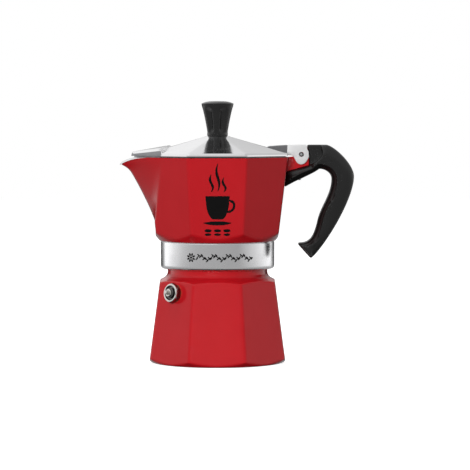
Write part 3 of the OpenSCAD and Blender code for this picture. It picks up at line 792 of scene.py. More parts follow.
@dataclass
class Boiler:
    """Eight-sided boiler: a casting turned at its foot, its shoulder and its threaded neck."""

    finishes: Finishes
    tools: NodeTools
    foot: float = field(default_factory=lambda: cad_box("boiler")[1].y)
    top: float = field(default_factory=lambda: cad_box("boiler")[1].z)
    neck: float = 31.4
    thread_core: float = 30.1
    mouth: float = 28.5
    wall: float = 3.2
    floor: float = 4.0
    pitch: float = 3.0

    def apothem(self, z: float) -> float:
        """Distance from the axis to a facet at a height."""
        lean = (FOOT_APOTHEM - SHOULDER_APOTHEM) / SHOULDER_Z
        return FOOT_APOTHEM - lean * z

    def outside(self) -> list[tuple[float, float]]:
        """Heights of the outer rings, each with the radius that the lathe leaves there."""
        wide = 60.0
        foot = [(z, 41.6 + 1.24 * z) for z in (0.35, 0.7, 1.1, 1.5, 1.9, 2.3, 2.7, 3.1, 3.5, 3.9, 4.3, 4.9)]
        side = [(z, wide) for z in (5.6, 8, 12, 18, 24, 30, 36, 42, 46, 48)]
        knots = ((49.4, 43.5), (50.4, 40.6), (51.4, 38.4), (52.2, 36.5), (52.8, 34.9), (53.6, 33.5),
                 (54.7, 32.3), (56.0, 31.6), (57.2, self.neck))
        cove = [(49.4 + 0.3 * k, along(knots, 49.4 + 0.3 * k)) for k in range(27)]
        return foot + side + cove + [(58.6, self.neck), (60.0, self.neck), (60.3, self.neck - 0.15)]

    def inside(self) -> list[tuple[float, float]]:
        """Radius and height of the inner rings, from the neck's rim down to the floor."""
        deep = self.apothem(self.floor) - self.wall
        return [(self.mouth + 0.5, self.top), (self.mouth, self.top - 0.5), (self.mouth, 60),
                (self.mouth, 54.4), (self.mouth + 0.4, 53.4), (30.4, 51.4), (32.0, 49.6), (32.8, 48),
                (deep - 2.6, 22), (deep - 0.5, 8), (deep - 0.8, 6.4), (deep - 1.7, 5.0), (deep - 3.2, 4.2),
                (deep - 4.6, self.floor), (20, self.floor), (6, self.floor)]

    def foot_rings(self) -> list[tuple[float, float]]:
        """Radius and height of the turned rings under the foot, from the middle out."""
        rows = [(5.0, 0.35), (5.4, 0.6), (8.0, 0.6)]
        for k in range(6):
            r = 9.0 + 4.6 * k
            rows += [(r, 0.6), (r + 0.5, 0.35), (r + 2.6, 0.35), (r + 3.1, 0.6)]
        return rows + [(37.2, 0.6), (37.8, 0.1), (38.6, 0.0), (41.0, 0.0)]

    def build(self) -> None:
        """Makes the casting and its thread."""
        tints: list[int] = []
        rings: list[list[Place]] = []

        def add(outline: list[Flat], z: float, tint: int) -> None:
            """Adds one ring and the finish of the band after it."""
            rings.append(at_height(outline, z))
            tints.append(tint)

        guide = rounded(octagon(self.foot), [1.3] * 8)
        for radius, z in self.foot_rings():
            add(circle_like(guide, radius), z, 1)
        for z, limit in self.outside():
            outline = rounded(octagon(self.apothem(z)), [1.3] * 8)
            add(turned_down(outline, limit, 0.6), z, 0)
        for radius, z in ((self.neck - 0.35, 60.6), (self.thread_core, 61.0),
                          (self.thread_core, self.top - 0.6), (self.thread_core - 0.5, self.top)):
            add(circle_like(guide, radius), z, 1)
        for radius, z in self.inside():
            add(circle_like(guide, radius), z, 1)
        skin = Skin()
        numbers = skin.stack(rings, tints)
        skin.fan(numbers[0], up=False, tint=1)
        skin.fan(numbers[-1], up=True, tint=1)
        casting = skin.build("boiler_casting", [self.finishes.enamel, self.finishes.cast])
        hole = Valve.axis_point(-9.0), Valve.axis_point(3.0)
        carved(casting, [rod(*hole, 4.0)])
        place_piece(casting, "boiler", Slot.ENAMEL, "boiler")
        turns = (self.top - 1.2 - THREAD_Z) / self.pitch
        values = {"Radius": (self.neck - 0.75) * MM, "Base": 0.85 * MM, "Crest": 1.9 * MM,
                  "Depth": 1.5 * MM, "Turns": turns, "Height": turns * self.pitch * MM,
                  "Start": THREAD_Z * MM, "Steps": 90, "Finish": self.finishes.cast}
        thread = self.tools.grow("boiler_thread", self.tools.coil_tree, self.tools.coil_inputs, values)
        place_piece(thread, "boiler", Slot.CAST)


@dataclass
class Valve:
    """Safety valve on the boiler's front-left facet."""

    finishes: Finishes
    tools: NodeTools
    flats: float = 11.0
    front: float = 4.7
    chamber_end: float = 3.4
    spring_from: float = -4.1
    wire: float = 0.22
    coil: float = 1.92
    turns: float = 6.0
    lift: float = 1.25

    @staticmethod
    def frame_matrix() -> Matrix:
        """Turns the valve's own axis, outwards along Z, to its place on the facet."""
        lean = math.atan((FOOT_APOTHEM - SHOULDER_APOTHEM) / SHOULDER_Z)
        apothem = FOOT_APOTHEM - math.tan(lean) * VALVE_Z
        spin = Matrix.Rotation(math.radians(225), 4, "Z")
        tip = Matrix.Rotation(math.pi / 2 - lean, 4, "Y")
        return spin @ Matrix.Translation((apothem, 0, VALVE_Z)) @ tip

    @classmethod
    def axis_point(cls, reach: float) -> Place:
        """Place on the valve's axis, that far out from the facet."""
        return tuple(cls.frame_matrix() @ Vector((0, 0, reach)))

    def hexagon(self) -> list[Flat]:
        """Rounded hexagon of the valve's body."""
        reach = self.flats / 2 / math.cos(math.pi / 6)
        turns = [math.radians(60 * k) for k in range(6)]
        return rounded([(reach * math.cos(t), reach * math.sin(t)) for t in turns], [0.35] * 6, bend=3)

    def build(self) -> None:
        """Makes the body with its chamfered hexagon and stepped nose."""
        disc = self.flats / 2 + 0.35
        hexagon = self.hexagon()
        rows: list[tuple[list[Flat], float]] = []

        def turned(radius: float, z: float) -> None:
            """Adds a round row."""
            rows.append((circle_like(hexagon, radius), z))

        turned(2.6, -6.8)
        turned(3.6, -6.8)
        turned(3.9, -6.5)
        turned(3.9, 0.62)
        turned(disc - 0.5, 0.62)
        rows.append((turned_down(hexagon, disc - 0.1, 0.3), 0.8))
        rows.append((turned_down(hexagon, disc + 0.7, 0.3), 1.3))
        rows.append((hexagon, 1.6))
        rows.append((hexagon, self.front - 1.5))
        rows.append((turned_down(hexagon, disc + 0.5, 0.2), self.front - 1.1))
        painted_shade_until = len(rows)
        turned(disc - 0.05, self.front - 0.8)
        turned(disc - 0.12, self.front - 0.35)
        turned(disc - 0.45, self.front)
        turned(4.75, self.front)
        turned(4.55, self.front - 0.2)
        bright_until = len(rows)
        turned(4.5, self.front - 1.3)
        turned(3.35, self.front - 1.3)
        turned(3.3, self.front + 0.2)
        turned(3.1, self.front + 0.45)
        step_from = len(rows)
        turned(2.75, self.front + 0.5)
        turned(2.5, self.front + 0.35)
        turned(2.4, self.front + 1.5)
        turned(2.2, self.front + 1.75)
        turned(1.6, self.front + 1.75)
        turned(1.27, self.front + 1.5)
        turned(1.27, self.chamber_end)
        turned(2.6, self.chamber_end)
        # Painted shade and dark reflection: the hexagon's sides and the groove inside the bright front ring
        # take the near-black finish.
        dark = [i < painted_shade_until or bright_until - 1 <= i < step_from + 1 for i in range(len(rows))]
        turn = self.frame_matrix()
        rings = [[tuple(turn @ Vector((x, y, z))) for x, y in outline] for outline, z in rows]
        skin = Skin()
        skin.stack(rings, [int(d) for d in dark], shut=True)
        body = skin.build("valve_hexagon", [self.finishes.nickel, self.finishes.painted_shade_metal], crease=32)
        place_piece(body, "boiler", Slot.BRASS, "valve_body")
        dress("valve_washer", self.finishes.brass)
        dress("valve_retainer", self.finishes.brass)
        dress("valve_piston", self.finishes.nickel)
        dress("valve_seal", self.finishes.silicone)
        self.spring()

    def spring(self) -> None:
        """Makes the coil spring at one fixed length; the real spring shortens as the pin moves out."""
        low, high = self.spring_from + self.wire, self.chamber_end - self.wire
        across = 2 * self.wire * MM
        values = {"Radius": self.coil * MM, "Base": across, "Crest": across, "Depth": across,
                  "Turns": self.turns, "Height": (high - low) * MM, "Start": low * MM,
                  "Steps": 24, "Finish": self.finishes.wire}
        coil = self.tools.grow("valve_coil", self.tools.coil_tree, self.tools.coil_inputs, values)
        turn = self.frame_matrix()
        turn.translation *= MM
        coil.data.transform(turn)
        place_piece(coil, "boiler", Slot.SPRING, "valve_spring")
        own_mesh(coil)


@dataclass
class Funnel:
    """Coffee basket with its tube, and the two filters and gasket round it."""

    finishes: Finishes

    def build(self) -> None:
        """Dresses the CAD pieces, whose shapes are right."""
        for node in ("funnel_basket", "funnel_tube", "funnel_filter", "filter_plate"):
            dress(node, self.finishes.spun)
        dress("gasket", self.finishes.silicone)


@dataclass
class Collector:
    """Collector casting: belt, eight-sided body with its spout, floor, column and hinge bracket."""

    finishes: Finishes
    tools: NodeTools
    belt_low: float = field(default_factory=lambda: cad_box("collector")[0].z)
    tip: float = field(default_factory=lambda: -cad_box("collector")[0].x)
    rim_apothem: float = field(default_factory=lambda: cad_box("collector")[1].y)
    rim: float = field(default_factory=lambda: cad_box("collector")[0].z + 70.0)
    foot: float = field(default_factory=lambda: cad_box("collector")[0].z + 17.3)
    foot_apothem: float = 37.8
    belt: float = 35.8
    wall: float = 2.7
    spout_root: float = 12.0
    droop: float = 5.0
    column: float = 5.4
    bore: float = 3.4
    pitch: float = 3.0

    def side(self, z: float) -> float:
        """Distance from the axis to a facet at a height."""
        return mix(self.foot_apothem, self.rim_apothem, (z - self.foot) / (self.rim - self.foot))

    def prow(self, z: float) -> float:
        """How far the spout's prow reaches at a height, before the lip droops."""
        root = self.foot + self.spout_root
        knots = ((root, self.side(root)), (self.rim - 7.8, self.tip - 6.4), (self.rim - 5.5, self.tip - 4.5),
                 (self.rim - 2.5, self.tip - 1.7), (self.rim, self.tip - 0.1))
        return max(self.side(z), along(knots, z))

    def section(self, z: float, sunk: float) -> list[Flat]:
        """Outline at a height, as far inside the skin as sunk.

        Args:
            z: height before the lip's droop.
            sunk: distance inside the outer skin.

        Returns:
            The rounded outline, with the spout pushed out towards -X.
        """
        a = self.side(z) - sunk
        root = self.foot + self.spout_root
        open_up = max(0.0, (z - root) / (self.rim - root))
        corners = octagon(a)
        edge_x = -a + 9.7 * open_up
        edge_y = ROOT_TWO * a + edge_x
        keel = -self.prow(z) + sunk * 1.35
        outline = [*corners[:3], (edge_x, edge_y), (keel, 0.0), (edge_x, -edge_y), *corners[5:]]
        soft = 1.2 + 0.5 * open_up
        keel_soft = mix(8.0, 4.0, open_up)
        cuts = [1.2, 1.2, 1.2, soft, keel_soft, soft, 1.2, 1.2, 1.2]
        return rounded(outline, cuts)

    def drooped(self, outline: Sequence[Flat], z: float) -> list[Place]:
        """Lifts an outline to its height and lets the spout's lip sink towards its tip."""
        root = self.foot + self.spout_root
        share = ease(root, self.rim, z)
        points = []
        for x, y in outline:
            out = max(0.0, (-x - 45.0) / (self.tip - 45.0))
            points.append((x, y, z - self.droop * share * out ** 3.2))
        return points

    def lathe_limit(self, z: float) -> float:
        """Radius that the lathe leaves round the body's foot."""
        foot = self.foot
        knots = ((foot, 35.7), (foot + 0.3, 36.5), (foot + 1.3, 37.4), (foot + 2.6, 38.5), (foot + 4.4, 40.4),
                 (foot + 8, 45.0), (foot + 9, 90.0))
        return along(knots, z)

    def chamber_limit(self, z: float) -> float:
        """Radius that the chamber's rounded bottom allows."""
        low = self.foot - 0.4
        knots = ((low, 30.5), (low + 0.5, 32.4), (low + 1.5, 33.8), (low + 3, 35.2), (low + 6, 38.5),
                 (low + 9, 90.0))
        return along(knots, z)

    def outer_rings(self) -> tuple[list[list[Place]], list[int]]:
        """Rings from the belt's lower edge up to the rim, with the finish of each band."""
        guide = self.section(self.foot, 0.0)
        rings, tints = [], []
        low, belt = self.belt_low, self.belt
        high = self.foot
        for radius, z in ((32.2, low), (belt - 1.9, low), (belt - 1.0, low + 0.2), (belt - 0.35, low + 0.75),
                          (belt - 0.05, low + 1.7), (belt, low + 2.6), (belt, low + 9), (belt, high - 0.9),
                          (belt - 0.05, high - 0.35), (belt - 0.3, high - 0.1)):
            rings.append(at_height(circle_like(guide, radius), z))
            tints.append(1)
        heights = [0.0, 0.15, 0.4, 0.8, 1.2, 1.7, 2.2, 2.8, 3.5, 4.3, 5.2, 6.2, 7.5, 9, 11]
        heights += [12 + 2.0 * k for k in range(19)] + [50.0, 50.8, 51.4]
        for rise in heights:
            z = self.foot + rise
            outline = turned_down(self.section(z, 0.0), self.lathe_limit(z), 0.9)
            rings.append(self.drooped(outline, z))
            tints.append(0)
        return rings, tints

    def rim_rings(self) -> list[list[Place]]:
        """Rings over the rounded bare rim."""
        wall = self.wall
        steps = ((0.0, -0.85), (0.12, -0.45), (0.45, -0.12), (0.9, 0.0), (wall - 0.9, 0.0),
                 (wall - 0.45, -0.12), (wall - 0.12, -0.45), (wall, -1.0))
        rings = [self.drooped(self.section(self.rim, sunk), self.rim + dz) for sunk, dz in steps]
        lip = [0.14 + 1.1 * ease(44.0, 58.0, -x) for x, _, _ in rings[0]]
        rings[0] = [(x, y, z + 0.85 - low) for (x, y, z), low in zip(rings[0], lip)]
        rings[1] = [(x, y, z + 0.45 - low * 0.4) for (x, y, z), low in zip(rings[1], lip)]
        return rings

    def inner_rings(self) -> list[list[Place]]:
        """Rings down the chamber, over its floor to the column and down the column's bore."""
        rings = []
        guide = self.section(self.foot, 0.0)
        heights = [50 - 2.5 * k for k in range(16)] + [10, 8.5, 7, 5.5, 4, 3, 2, 1.2, 0.6, 0.2, -0.1, -0.4]
        for rise in heights:
            z = self.foot + rise
            outline = turned_down(self.section(z, self.wall), self.chamber_limit(z), 0.9)
            rings.append(self.drooped(outline, z))
        top = self.foot + 13.2
        floor = ((28.0, self.foot - 0.55), (26.6, self.foot - 0.3), (16, self.foot + 6.1),
                 (7.4, self.foot + 11.6), (6.2, top - 0.5), (5.9, top), (self.bore, top))
        seat = self.belt_low + 12.7
        under = ((self.bore, seat + 13.6), (25.3, seat + 0.8), (26.9, seat + 0.8), (26.9, seat), (31.9, seat),
                 (32.1, seat - 0.2), (32.1, seat - 4.2), (31.55, seat - 4.3), (31.55, self.belt_low + 0.6))
        return rings + [at_height(circle_like(guide, radius), z) for radius, z in floor + under]

    def casting(self) -> bpy.types.Object:
        """The casting's own closed shell, painted outside above the belt."""
        outer, tints = self.outer_rings()
        rim = self.rim_rings()
        inner = self.inner_rings()
        skin = Skin()
        bare = [1] * (len(rim) + len(inner))
        skin.stack(outer + rim + inner, tints[:-1] + [0] + bare, shut=True)
        columns = len(rim[0])
        for i in range(len(outer) * columns, (len(outer) + 3) * columns):
            if skin.points[skin.faces[i][0]][0] > -46:
                skin.tints[i] = 0
        return skin.build("collector_casting", [self.finishes.enamel, self.finishes.brushed])

    def column_piece(self) -> bpy.types.Object:
        """Coffee column with its capped top."""
        low = self.foot + 12.2
        top = self.rim - 11.0
        rows = ((self.bore, top - 2.4), (self.bore, low), (self.column + 0.3, low), (self.column, low + 4),
                (self.column - 0.3, top - 8), (self.column - 0.3, top - 0.8), (self.column - 0.9, top - 0.2),
                (2.0, top))
        skin = Skin()
        numbers = skin.stack([at_height(circle(r, 64), z) for r, z in rows])
        skin.fan(numbers[0], up=False)
        skin.fan(numbers[-1], up=True)
        return skin.build("coffee_column", [self.finishes.cast])

    def bracket(self) -> bpy.types.Object:
        """Bracket that carries the hinge pin and the handle's screw."""
        pin = Vector(HINGE)

        def floor(x: float) -> float:
            """Height of the bracket's sloping underside."""
            return pin.y - 8.2 + 0.285 * (x - pin.x)

        knuckle = [(pin.x + 4.4 * math.cos(math.radians(t)), pin.y + 4.4 * math.sin(math.radians(t)))
                   for t in range(-20, 190, 14)]
        outline = [(42.2, floor(42.2)), (57.2, floor(57.2)), (57.45, floor(57.45) + 0.4),
                   (57.45, pin.y - 2.0), *knuckle, (47.6, 129.6), (42.2, 129.2)]
        piece = slab("hinge_bracket", outline, 4.6, 0.5, self.finishes.enamel)
        return carved(piece, [rod((pin.x, -8, pin.y), (pin.x, 8, pin.y), PIN_HOLE_R),
                              rod((SCREW_X, 0, 118), (SCREW_X, 0, 126.9), SCREW_HOLE_R)])

    def build(self) -> None:
        """Makes the casting, column, bracket, thread and the printed marks."""
        place_piece(self.casting(), "collector", Slot.ENAMEL, "collector")
        place_piece(self.column_piece(), "collector", Slot.CAST)
        place_piece(self.bracket(), "collector", Slot.ENAMEL)
        start = THREAD_Z + self.pitch / 2
        turns = (66.8 - start) / self.pitch
        values = {"Radius": 31.0 * MM, "Base": 1.9 * MM, "Crest": 0.6 * MM, "Depth": 1.5 * MM,
                  "Turns": turns, "Height": turns * self.pitch * MM, "Start": start * MM,
                  "Steps": 90, "Finish": self.finishes.brushed}
        thread = self.tools.grow("collector_thread", self.tools.coil_tree, self.tools.coil_inputs, values)
        place_piece(thread, "collector", Slot.CAST)
        self.scroll()
        Emblem(self).build()

    def scroll(self) -> None:
        """Leafy scroll that runs round the front of the belt."""
        values = {"Radius": (self.belt + 0.02) * MM, "Height": (self.belt_low + 8.4) * MM, "Start": -0.36,
                  "End": 0.64, "Wave": 25.13, "Swing": 1.25 * MM, "Stem": 0.26 * MM, "Leaf": 1.15 * MM,
                  "Leaves": 33, "Finish": self.finishes.ink}
        piece = self.tools.grow("belt_scroll", self.tools.scroll_tree, self.tools.scroll_inputs, values)
        place_piece(piece, "collector", Slot.PLASTIC)
        self.rosette()

    def rosette(self, petals: int = 8) -> None:
        """Small flower at the scroll's left end, its petals laid on the round belt."""
        skin = Skin()
        middle, height = -0.47, self.belt_low + 8.4

        def lay(outline: Sequence[Flat]) -> None:
            """Adds one petal, given in the belt's unrolled surface."""
            rings = []
            for lift in (-0.03, 0.06):
                reach = self.belt + lift
                turns = [(middle + u / self.belt, v) for u, v in outline]
                rings.append([(reach * math.sin(t), -reach * math.cos(t), height + v) for t, v in turns])
            numbers = skin.stack(rings)
            skin.fan(numbers[0], up=False)
            skin.fan(numbers[1], up=True)

        lay(circle(0.75, 24))
        for k in range(petals):
            t = 2 * math.pi * (k + 0.5) / petals
            out_x, out_z = math.cos(t), math.sin(t)
            petal = [(2.0 + 0.95 * u, 0.58 * v) for u, v in circle(1.0, 20)]
            lay([(out_x * a - out_z * b, out_z * a + out_x * b) for a, b in petal])
        place_piece(skin.build("belt_rosette", [self.finishes.ink]), "collector", Slot.PLASTIC)


@dataclass
class Emblem:
    """Plain printed picture of a steaming cup on the collector's front facet."""

    collector: Collector
    thick: float = 0.06

    def plate(self, skin: Skin, outline: Sequence[Flat]) -> None:
        """Adds one thin printed shape.

        Args:
            skin: the skin that gathers the emblem.
            outline: X and Z of the shape's corners, anticlockwise as seen from the front.
        """
        side = self.collector.side
        back = skin.ring([(x, -side(z) + 0.03, z) for x, z in outline])
        front = skin.ring([(x, -side(z) - self.thick, z) for x, z in outline])
        skin.band(back, front)
        skin.lid(back, up=False)
        skin.lid(front, up=True)

    def strand(self, x: float, low: float, high: float, sway: float, width: float) -> list[Flat]:
        """Outline of one wisp of steam, thin at both ends."""
        left, right = [], []
        for k in range(17):
            t = k / 16
            z = mix(low, high, t)
            middle = x + sway * math.sin(t * 2 * math.pi) * mix(1.0, 0.6, t)
            half = width / 2 * math.sin(math.pi * mix(0.04, 0.97, t)) ** 0.8
            left.append((middle - half, z))
            right.append((middle + half, z))
        return right + left[::-1]

    def oval(self, x: float, z: float, wide: float, high: float) -> list[Flat]:
        """Outline of an oval."""
        return [(x + wide * cx, z + high * cz) for cx, cz in circle(1.0, 28)]

    def build(self) -> None:
        """Prints the cup, its steam, its saucer and a row of beans."""
        skin = Skin()
        for x, low, high in ((-3.6, 108.5, 119.5), (0.4, 109.0, 126.0), (4.2, 108.5, 117.5)):
            self.plate(skin, self.strand(x, low, high, 1.1, 1.7))
        bowl = [(-7.2, 106.0), *cubic((-7.0, 103.0), (-6.6, 96.0), (-4.4, 92.4), (-2.6, 91.6), 8),
                (-2.6, 91.6), (3.2, 91.6), *cubic((3.2, 91.6), (5.2, 92.4), (7.0, 96.0), (7.6, 103.0), 8),
                (7.8, 106.0)]
        self.plate(skin, bowl)
        ear = [(p[0], p[1]) for p in cubic((7.3, 103.6), (13.0, 104.6), (12.4, 95.4), (6.4, 95.6), 14)]
        ear += [(6.4, 95.6), (6.1, 96.9)]
        ear += [(p[0], p[1]) for p in cubic((6.3, 96.9), (10.6, 97.2), (10.8, 102.6), (7.5, 102.2), 14)]
        self.plate(skin, ear[::-1])
        self.plate(skin, [(-8.6, 89.6), *cubic((-8.6, 89.4), (-5.0, 87.4), (5.4, 87.4), (9.0, 89.4), 12),
                          (9.0, 89.6), (3.6, 90.4), (-3.2, 90.4)])
        for x in (-5.6, 0.2, 6.0):
            self.plate(skin, self.oval(x, 84.6, 2.2, 1.0))
            self.plate(skin, self.oval(x, 82.2, 2.0, 0.8))
        piece = skin.build("cup_emblem", [self.collector.finishes.ink])
        place_piece(piece, "collector", Slot.PLASTIC)


@dataclass
class Handle:
    """Hooked handle with pockets for the lid's ears, its screw and the hinge pin."""

    finishes: Finishes
    pin: Flat = HINGE
    top_half: float = 8.5
    toe_share: float = 0.86
    tongue_half: float = 4.6

    def at(self, x: float, z: float) -> Flat:
        """Place given from the hinge pin."""
        return (self.pin[0] + x, self.pin[1] + z)

    def outline(self) -> list[Flat]:
        """The handle's side view."""
        at = self.at
        points = [(43.1, 120.15), (48.0, 121.49), (57.55, 124.2), (57.55, 131.1), (57.4, 132.4)]
        points += [(56.93, 133.6), (56.43, 134.3), (56.43, 136.6), (56.9, 137.1), (61.0, 137.1)]
        points += [(65.0, 137.1)]
        points += cubic(at(16.1, 6), at(20.9, 5.2), at(32.7, -5.6), at(33.3, -13.6), 16)
        points += cubic(at(33.3, -13.6), at(33.3, -27.1), at(17.4, -54.6), at(6.9, -65.2), 22)
        points += [at(6.3, -65.4), at(5.5, -65.0)]
        points += [at(-1.2, -57.6)]
        points += cubic(at(-1.7, -57.0), at(-2.2, -56.2), at(-1.8, -55.6), at(-0.6, -55.6), 4)
        points += cubic(at(-0.6, -55.6), at(6.4, -55.6), at(8.4, -50.6), at(10.7, -40.6), 12)
        points += cubic(at(10.7, -40.6), at(12.9, -32.1), at(19.3, -25), at(19.3, -15.6), 14)
        points += cubic(at(19.3, -15.6), at(19.3, -11.6), at(14.9, -9.2), at(11.4, -9.1), 12)
        points += cubic(at(11.4, -9.1), at(8.9, -11.6), at(-0.6, -15.3), at(-7, -18.8), 10)
        points += [at(-7, -18.8), (42.25, 110.5)]
        return points[::-1]

    def pocket(self) -> list[Flat]:
        """Side view of the room in which the ears swing."""
        at = self.at
        points = [at(-20, 9), at(-20, -7), (50.6, 123.3)]
        points += cubic(at(5, -6.9), at(10.2, -5.0), at(14.0, -1.0), at(13.3, 2.2), 12)
        points += [at(12.5, 5.0), at(12.2, 9)]
        return points

    def build(self) -> None:
        """Makes the handle and dresses its hardware."""
        blank = slab("handle_grip", self.outline(), self.top_half, 4.6, self.finishes.plastic,
                     bend=12, crown=1.6)
        low, high = 65.0 * MM, 137.0 * MM
        for vertex in blank.data.vertices:
            vertex.co.y *= mix(self.toe_share, 1.0, (vertex.co.z - low) / (high - low))
        cutters = []
        for side in (-1, 1):
            middle = side * (self.tongue_half + 6.0)
            cutters.append(slab("pocket", self.pocket(), 6.0, 0.01, None, middle=middle, bend=1))
        cutters.append(rod((SCREW_X, 0, 105), (SCREW_X, 0, 117.2), 3.7))
        cutters.append(rod((SCREW_X, 0, 112), (SCREW_X, 0, 130), SCREW_HOLE_R))
        carved(blank, cutters)
        remesh = blank.modifiers.new("even", "REMESH")
        remesh.mode = "VOXEL"
        remesh.voxel_size = 0.42 * MM
        relax = blank.modifiers.new("relax", "SMOOTH")
        relax.factor = 0.5
        relax.iterations = 9
        baked(blank, crease=60)
        blank.data.materials.clear()
        blank.data.materials.append(self.finishes.plastic)
        place_piece(blank, "collector", Slot.PLASTIC, "handle")
        dress("handle_screw", self.finishes.zinc)
        self.hinge_pin()

    def hinge_pin(self) -> None:
        """Pin with domed ends that are peened over."""
        half = cad_box("hinge_pin")[1].y
        x, z = self.pin
        end = [(0.2, 0.0), (0.78, 0.03), (0.86, 0.35), (1.15, 0.35), (1.3, 0.2), (1.38, 0.45)]
        rows = [(r, deep - half) for r, deep in end] + [(r, half - deep) for r, deep in reversed(end)]
        skin = Skin()
        # Painted shade: the sunk ring round each domed end takes the near-black finish.
        bands = [0, 1, 1, 1, 1, 0, 1, 1, 1, 1, 0]
        numbers = skin.stack([[(x + cx, y, z + cz) for cx, cz in circle(r, 40)] for r, y in rows], bands)
        skin.fan(numbers[0], up=False)
        skin.fan(numbers[-1], up=True)
        piece = skin.build("pin", [self.finishes.zinc, self.finishes.painted_shade_metal])
        place_piece(piece, "collector", Slot.ZINC, "hinge_pin")


@dataclass
class Lid:
    """Polished eight-sided lid with its beak, tab and ears."""

    finishes: Finishes
    apothem: float = field(default_factory=lambda: cad_box("lid")[1].y)
    base: float = 129.4
    skirt: float = 131.9
    peak: float = 142.5
    seat: float = 6.9
    wall: float = 1.9
    beak: float = 54.2

    def plan(self, sunk: float) -> list[Flat]:
        """Outline of the lid seen from above, as far inside its edge as sunk."""
        a = self.apothem - sunk
        corners = octagon(a)
        flank = (-(a - 9.7), ROOT_TWO * a - (a - 9.7))
        nose = (-self.beak + sunk * 1.2, 5.6 - sunk * 0.5)
        outline = [*corners[:3], flank, nose, (nose[0], -nose[1]), (flank[0], -flank[1]), *corners[5:]]
        cuts = [1.0, 1.0, 1.0, 1.5, 3.2, 3.2, 1.5, 1.0, 1.0, 1.0]
        return rounded(outline, cuts)

    def cone_height(self, x: float, y: float) -> float:
        """Height of the eight-sided cone over a place."""
        far = -100.0
        for k in range(8):
            t = math.radians(45 * k)
            far = smooth_max(far, x * math.cos(t) + y * math.sin(t), 1.0)
        share = (self.apothem - far) / (self.apothem - self.seat)
        return self.skirt + (self.peak - self.skirt) * (0.93 * share + 0.07 * share * share)

    def crease(self, y: float) -> float:
        """X of the crease where the beak's roof meets the cone."""
        return -29.3 - 5.0 * abs(y) / 27.9

    def beak_height(self, x: float, y: float) -> float:
        """Height of the beak's rounded roof over a place."""
        start = 29.3
        t = (-x - start) / (self.beak - start)
        ridge = mix(136.6, 132.3, t)
        half = max(mix(34.5, 5.6, t), 4.0)
        edge = mix(134.0, 130.9, max(0.0, t))
        return edge + (ridge - edge) * (1 - min(abs(y) / half, 1.2) ** 2)

    def height(self, x: float, y: float) -> float:
        """Height of the lid's upper skin over a place."""
        cone = self.cone_height(x, y)
        inside = ease(0.5, -1.0, x - self.crease(y)) if x < -20 else 0.0
        if inside <= 0:
            return cone
        return mix(cone, smooth_max(cone, self.beak_height(x, y), 0.4) + 0.32, inside)

    def shell(self) -> bpy.types.Object:
        """The lid's closed shell."""
        rim = self.plan(0.0)
        seat = circle_like(rim, self.seat)
        rings = []

        def spread(outer: list[Flat], share: float, drop: float) -> list[Place]:
            """Ring between the knob's seat and an outline, on the skin lowered by drop."""
            points = []
            for (sx, sy), (ox, oy) in zip(seat, outer):
                x, y = mix(sx, ox, share), mix(sy, oy, share)
                points.append((x, y, self.height(x, y) - drop))
            return points

        base = self.base
        rings.append(at_height(self.plan(self.wall - 0.3), base))
        rings.append(at_height(self.plan(1.55), base))
        rings.append(at_height(self.plan(1.5), base + 0.72))
        rings.append(at_height(self.plan(0.2), base + 0.72))
        rings.append(at_height(self.plan(0.04), base + 0.8))
        rings.append(at_height(rim, base + 0.95))
        for share, drop in ((0.9912, 0.55), (0.988, 0.22), (0.983, 0.05), (0.976, 0.0)):
            rings.append(spread(rim, share, drop))
        rings += [spread(rim, 0.965 - 0.965 * k / 62, 0.0) for k in range(62)]
        rings.append(at_height(seat, self.peak))
        rings.append(at_height(circle_like(rim, self.seat - 0.4), self.peak))
        rings.append(at_height(circle_like(rim, 2.1), self.peak))
        rings.append(at_height(circle_like(rim, 2.1), self.peak - self.wall))
        under = self.plan(self.wall)
        rings += [spread(under, 0.05 + 0.9 * k / 18, self.wall) for k in range(19)]
        rings.append(spread(under, 0.99, self.wall))
        rings.append(at_height(under, base + 0.25))
        skin = Skin()
        # Painted shade: the two bands of the gap under the skirt take the near-black finish.
        skin.stack(rings, [0, 2, 2], shut=True)
        # Painted shade: the beak's steep sides and its skirt take the dark cast finish.
        for i, face in enumerate(skin.faces):
            a, b, c, d = (Vector(skin.points[j]) for j in face)
            steep = (c - a).cross(d - b)
            if (a.x + b.x + c.x + d.x) / 4 < -35 and abs(steep.z) < 0.55 * steep.length:
                skin.tints[i] = 1
        finishes = [self.finishes.polished, self.finishes.shaded_cast, self.finishes.painted_shade_metal]
        return skin.build("lid_shell", finishes, crease=45)

    def ear_outline(self) -> list[Flat]:
        """Side view of one ear."""
        points = [(43.9, 136.3), (43.7, 132.4), (44.3, 130.7), (45.2, 130.45), (47.3, 130.4), (48.5, 128.2)]
        points += cubic((48.5, 128.2), (49.6, 125.6), (51.2, 124.7), (52.6, 124.75), 6)
        points += cubic((52.6, 124.75), (54.6, 124.8), (55.8, 126.6), (56.6, 128.0), 6)
        points += cubic((56.6, 128.0), (57.5, 129.6), (57.5, 131.4), (56.7, 133.0), 6)
        points += [(56.7, 133.0), (56.1, 134.6), (55.9, 136.6), (55.5, 137.05), (44.6, 137.05)]
        return points

    def build(self) -> None:
        """Makes the shell, the tab and the ears."""
        place_piece(self.shell(), "lid", Slot.CAST, "lid")
        tab = [(29.0, 134.6), (43.0, 131.2), (44.05, 131.2), (44.05, 136.6), (43.7, 136.9), (38.0, 136.6),
               (32.4, 136.2)]
        # Painted shade: the tab's dark tone.
        place_piece(slab("lid_tab", tab, 5.9, 0.35, self.finishes.shaded_cast), "lid", Slot.CAST)
        pin_x, pin_z = HINGE
        for side, name in ((-1, "lid_ear_front"), (1, "lid_ear_back")):
            ear = slab(name, self.ear_outline(), 0.9, 0.25, self.finishes.satin, middle=side * 5.8)
            start, end = side * 4.0, side * 8.0
            carved(ear, [rod((pin_x, start, pin_z), (pin_x, end, pin_z), 1.55)])
            place_piece(ear, "lid", Slot.CAST)


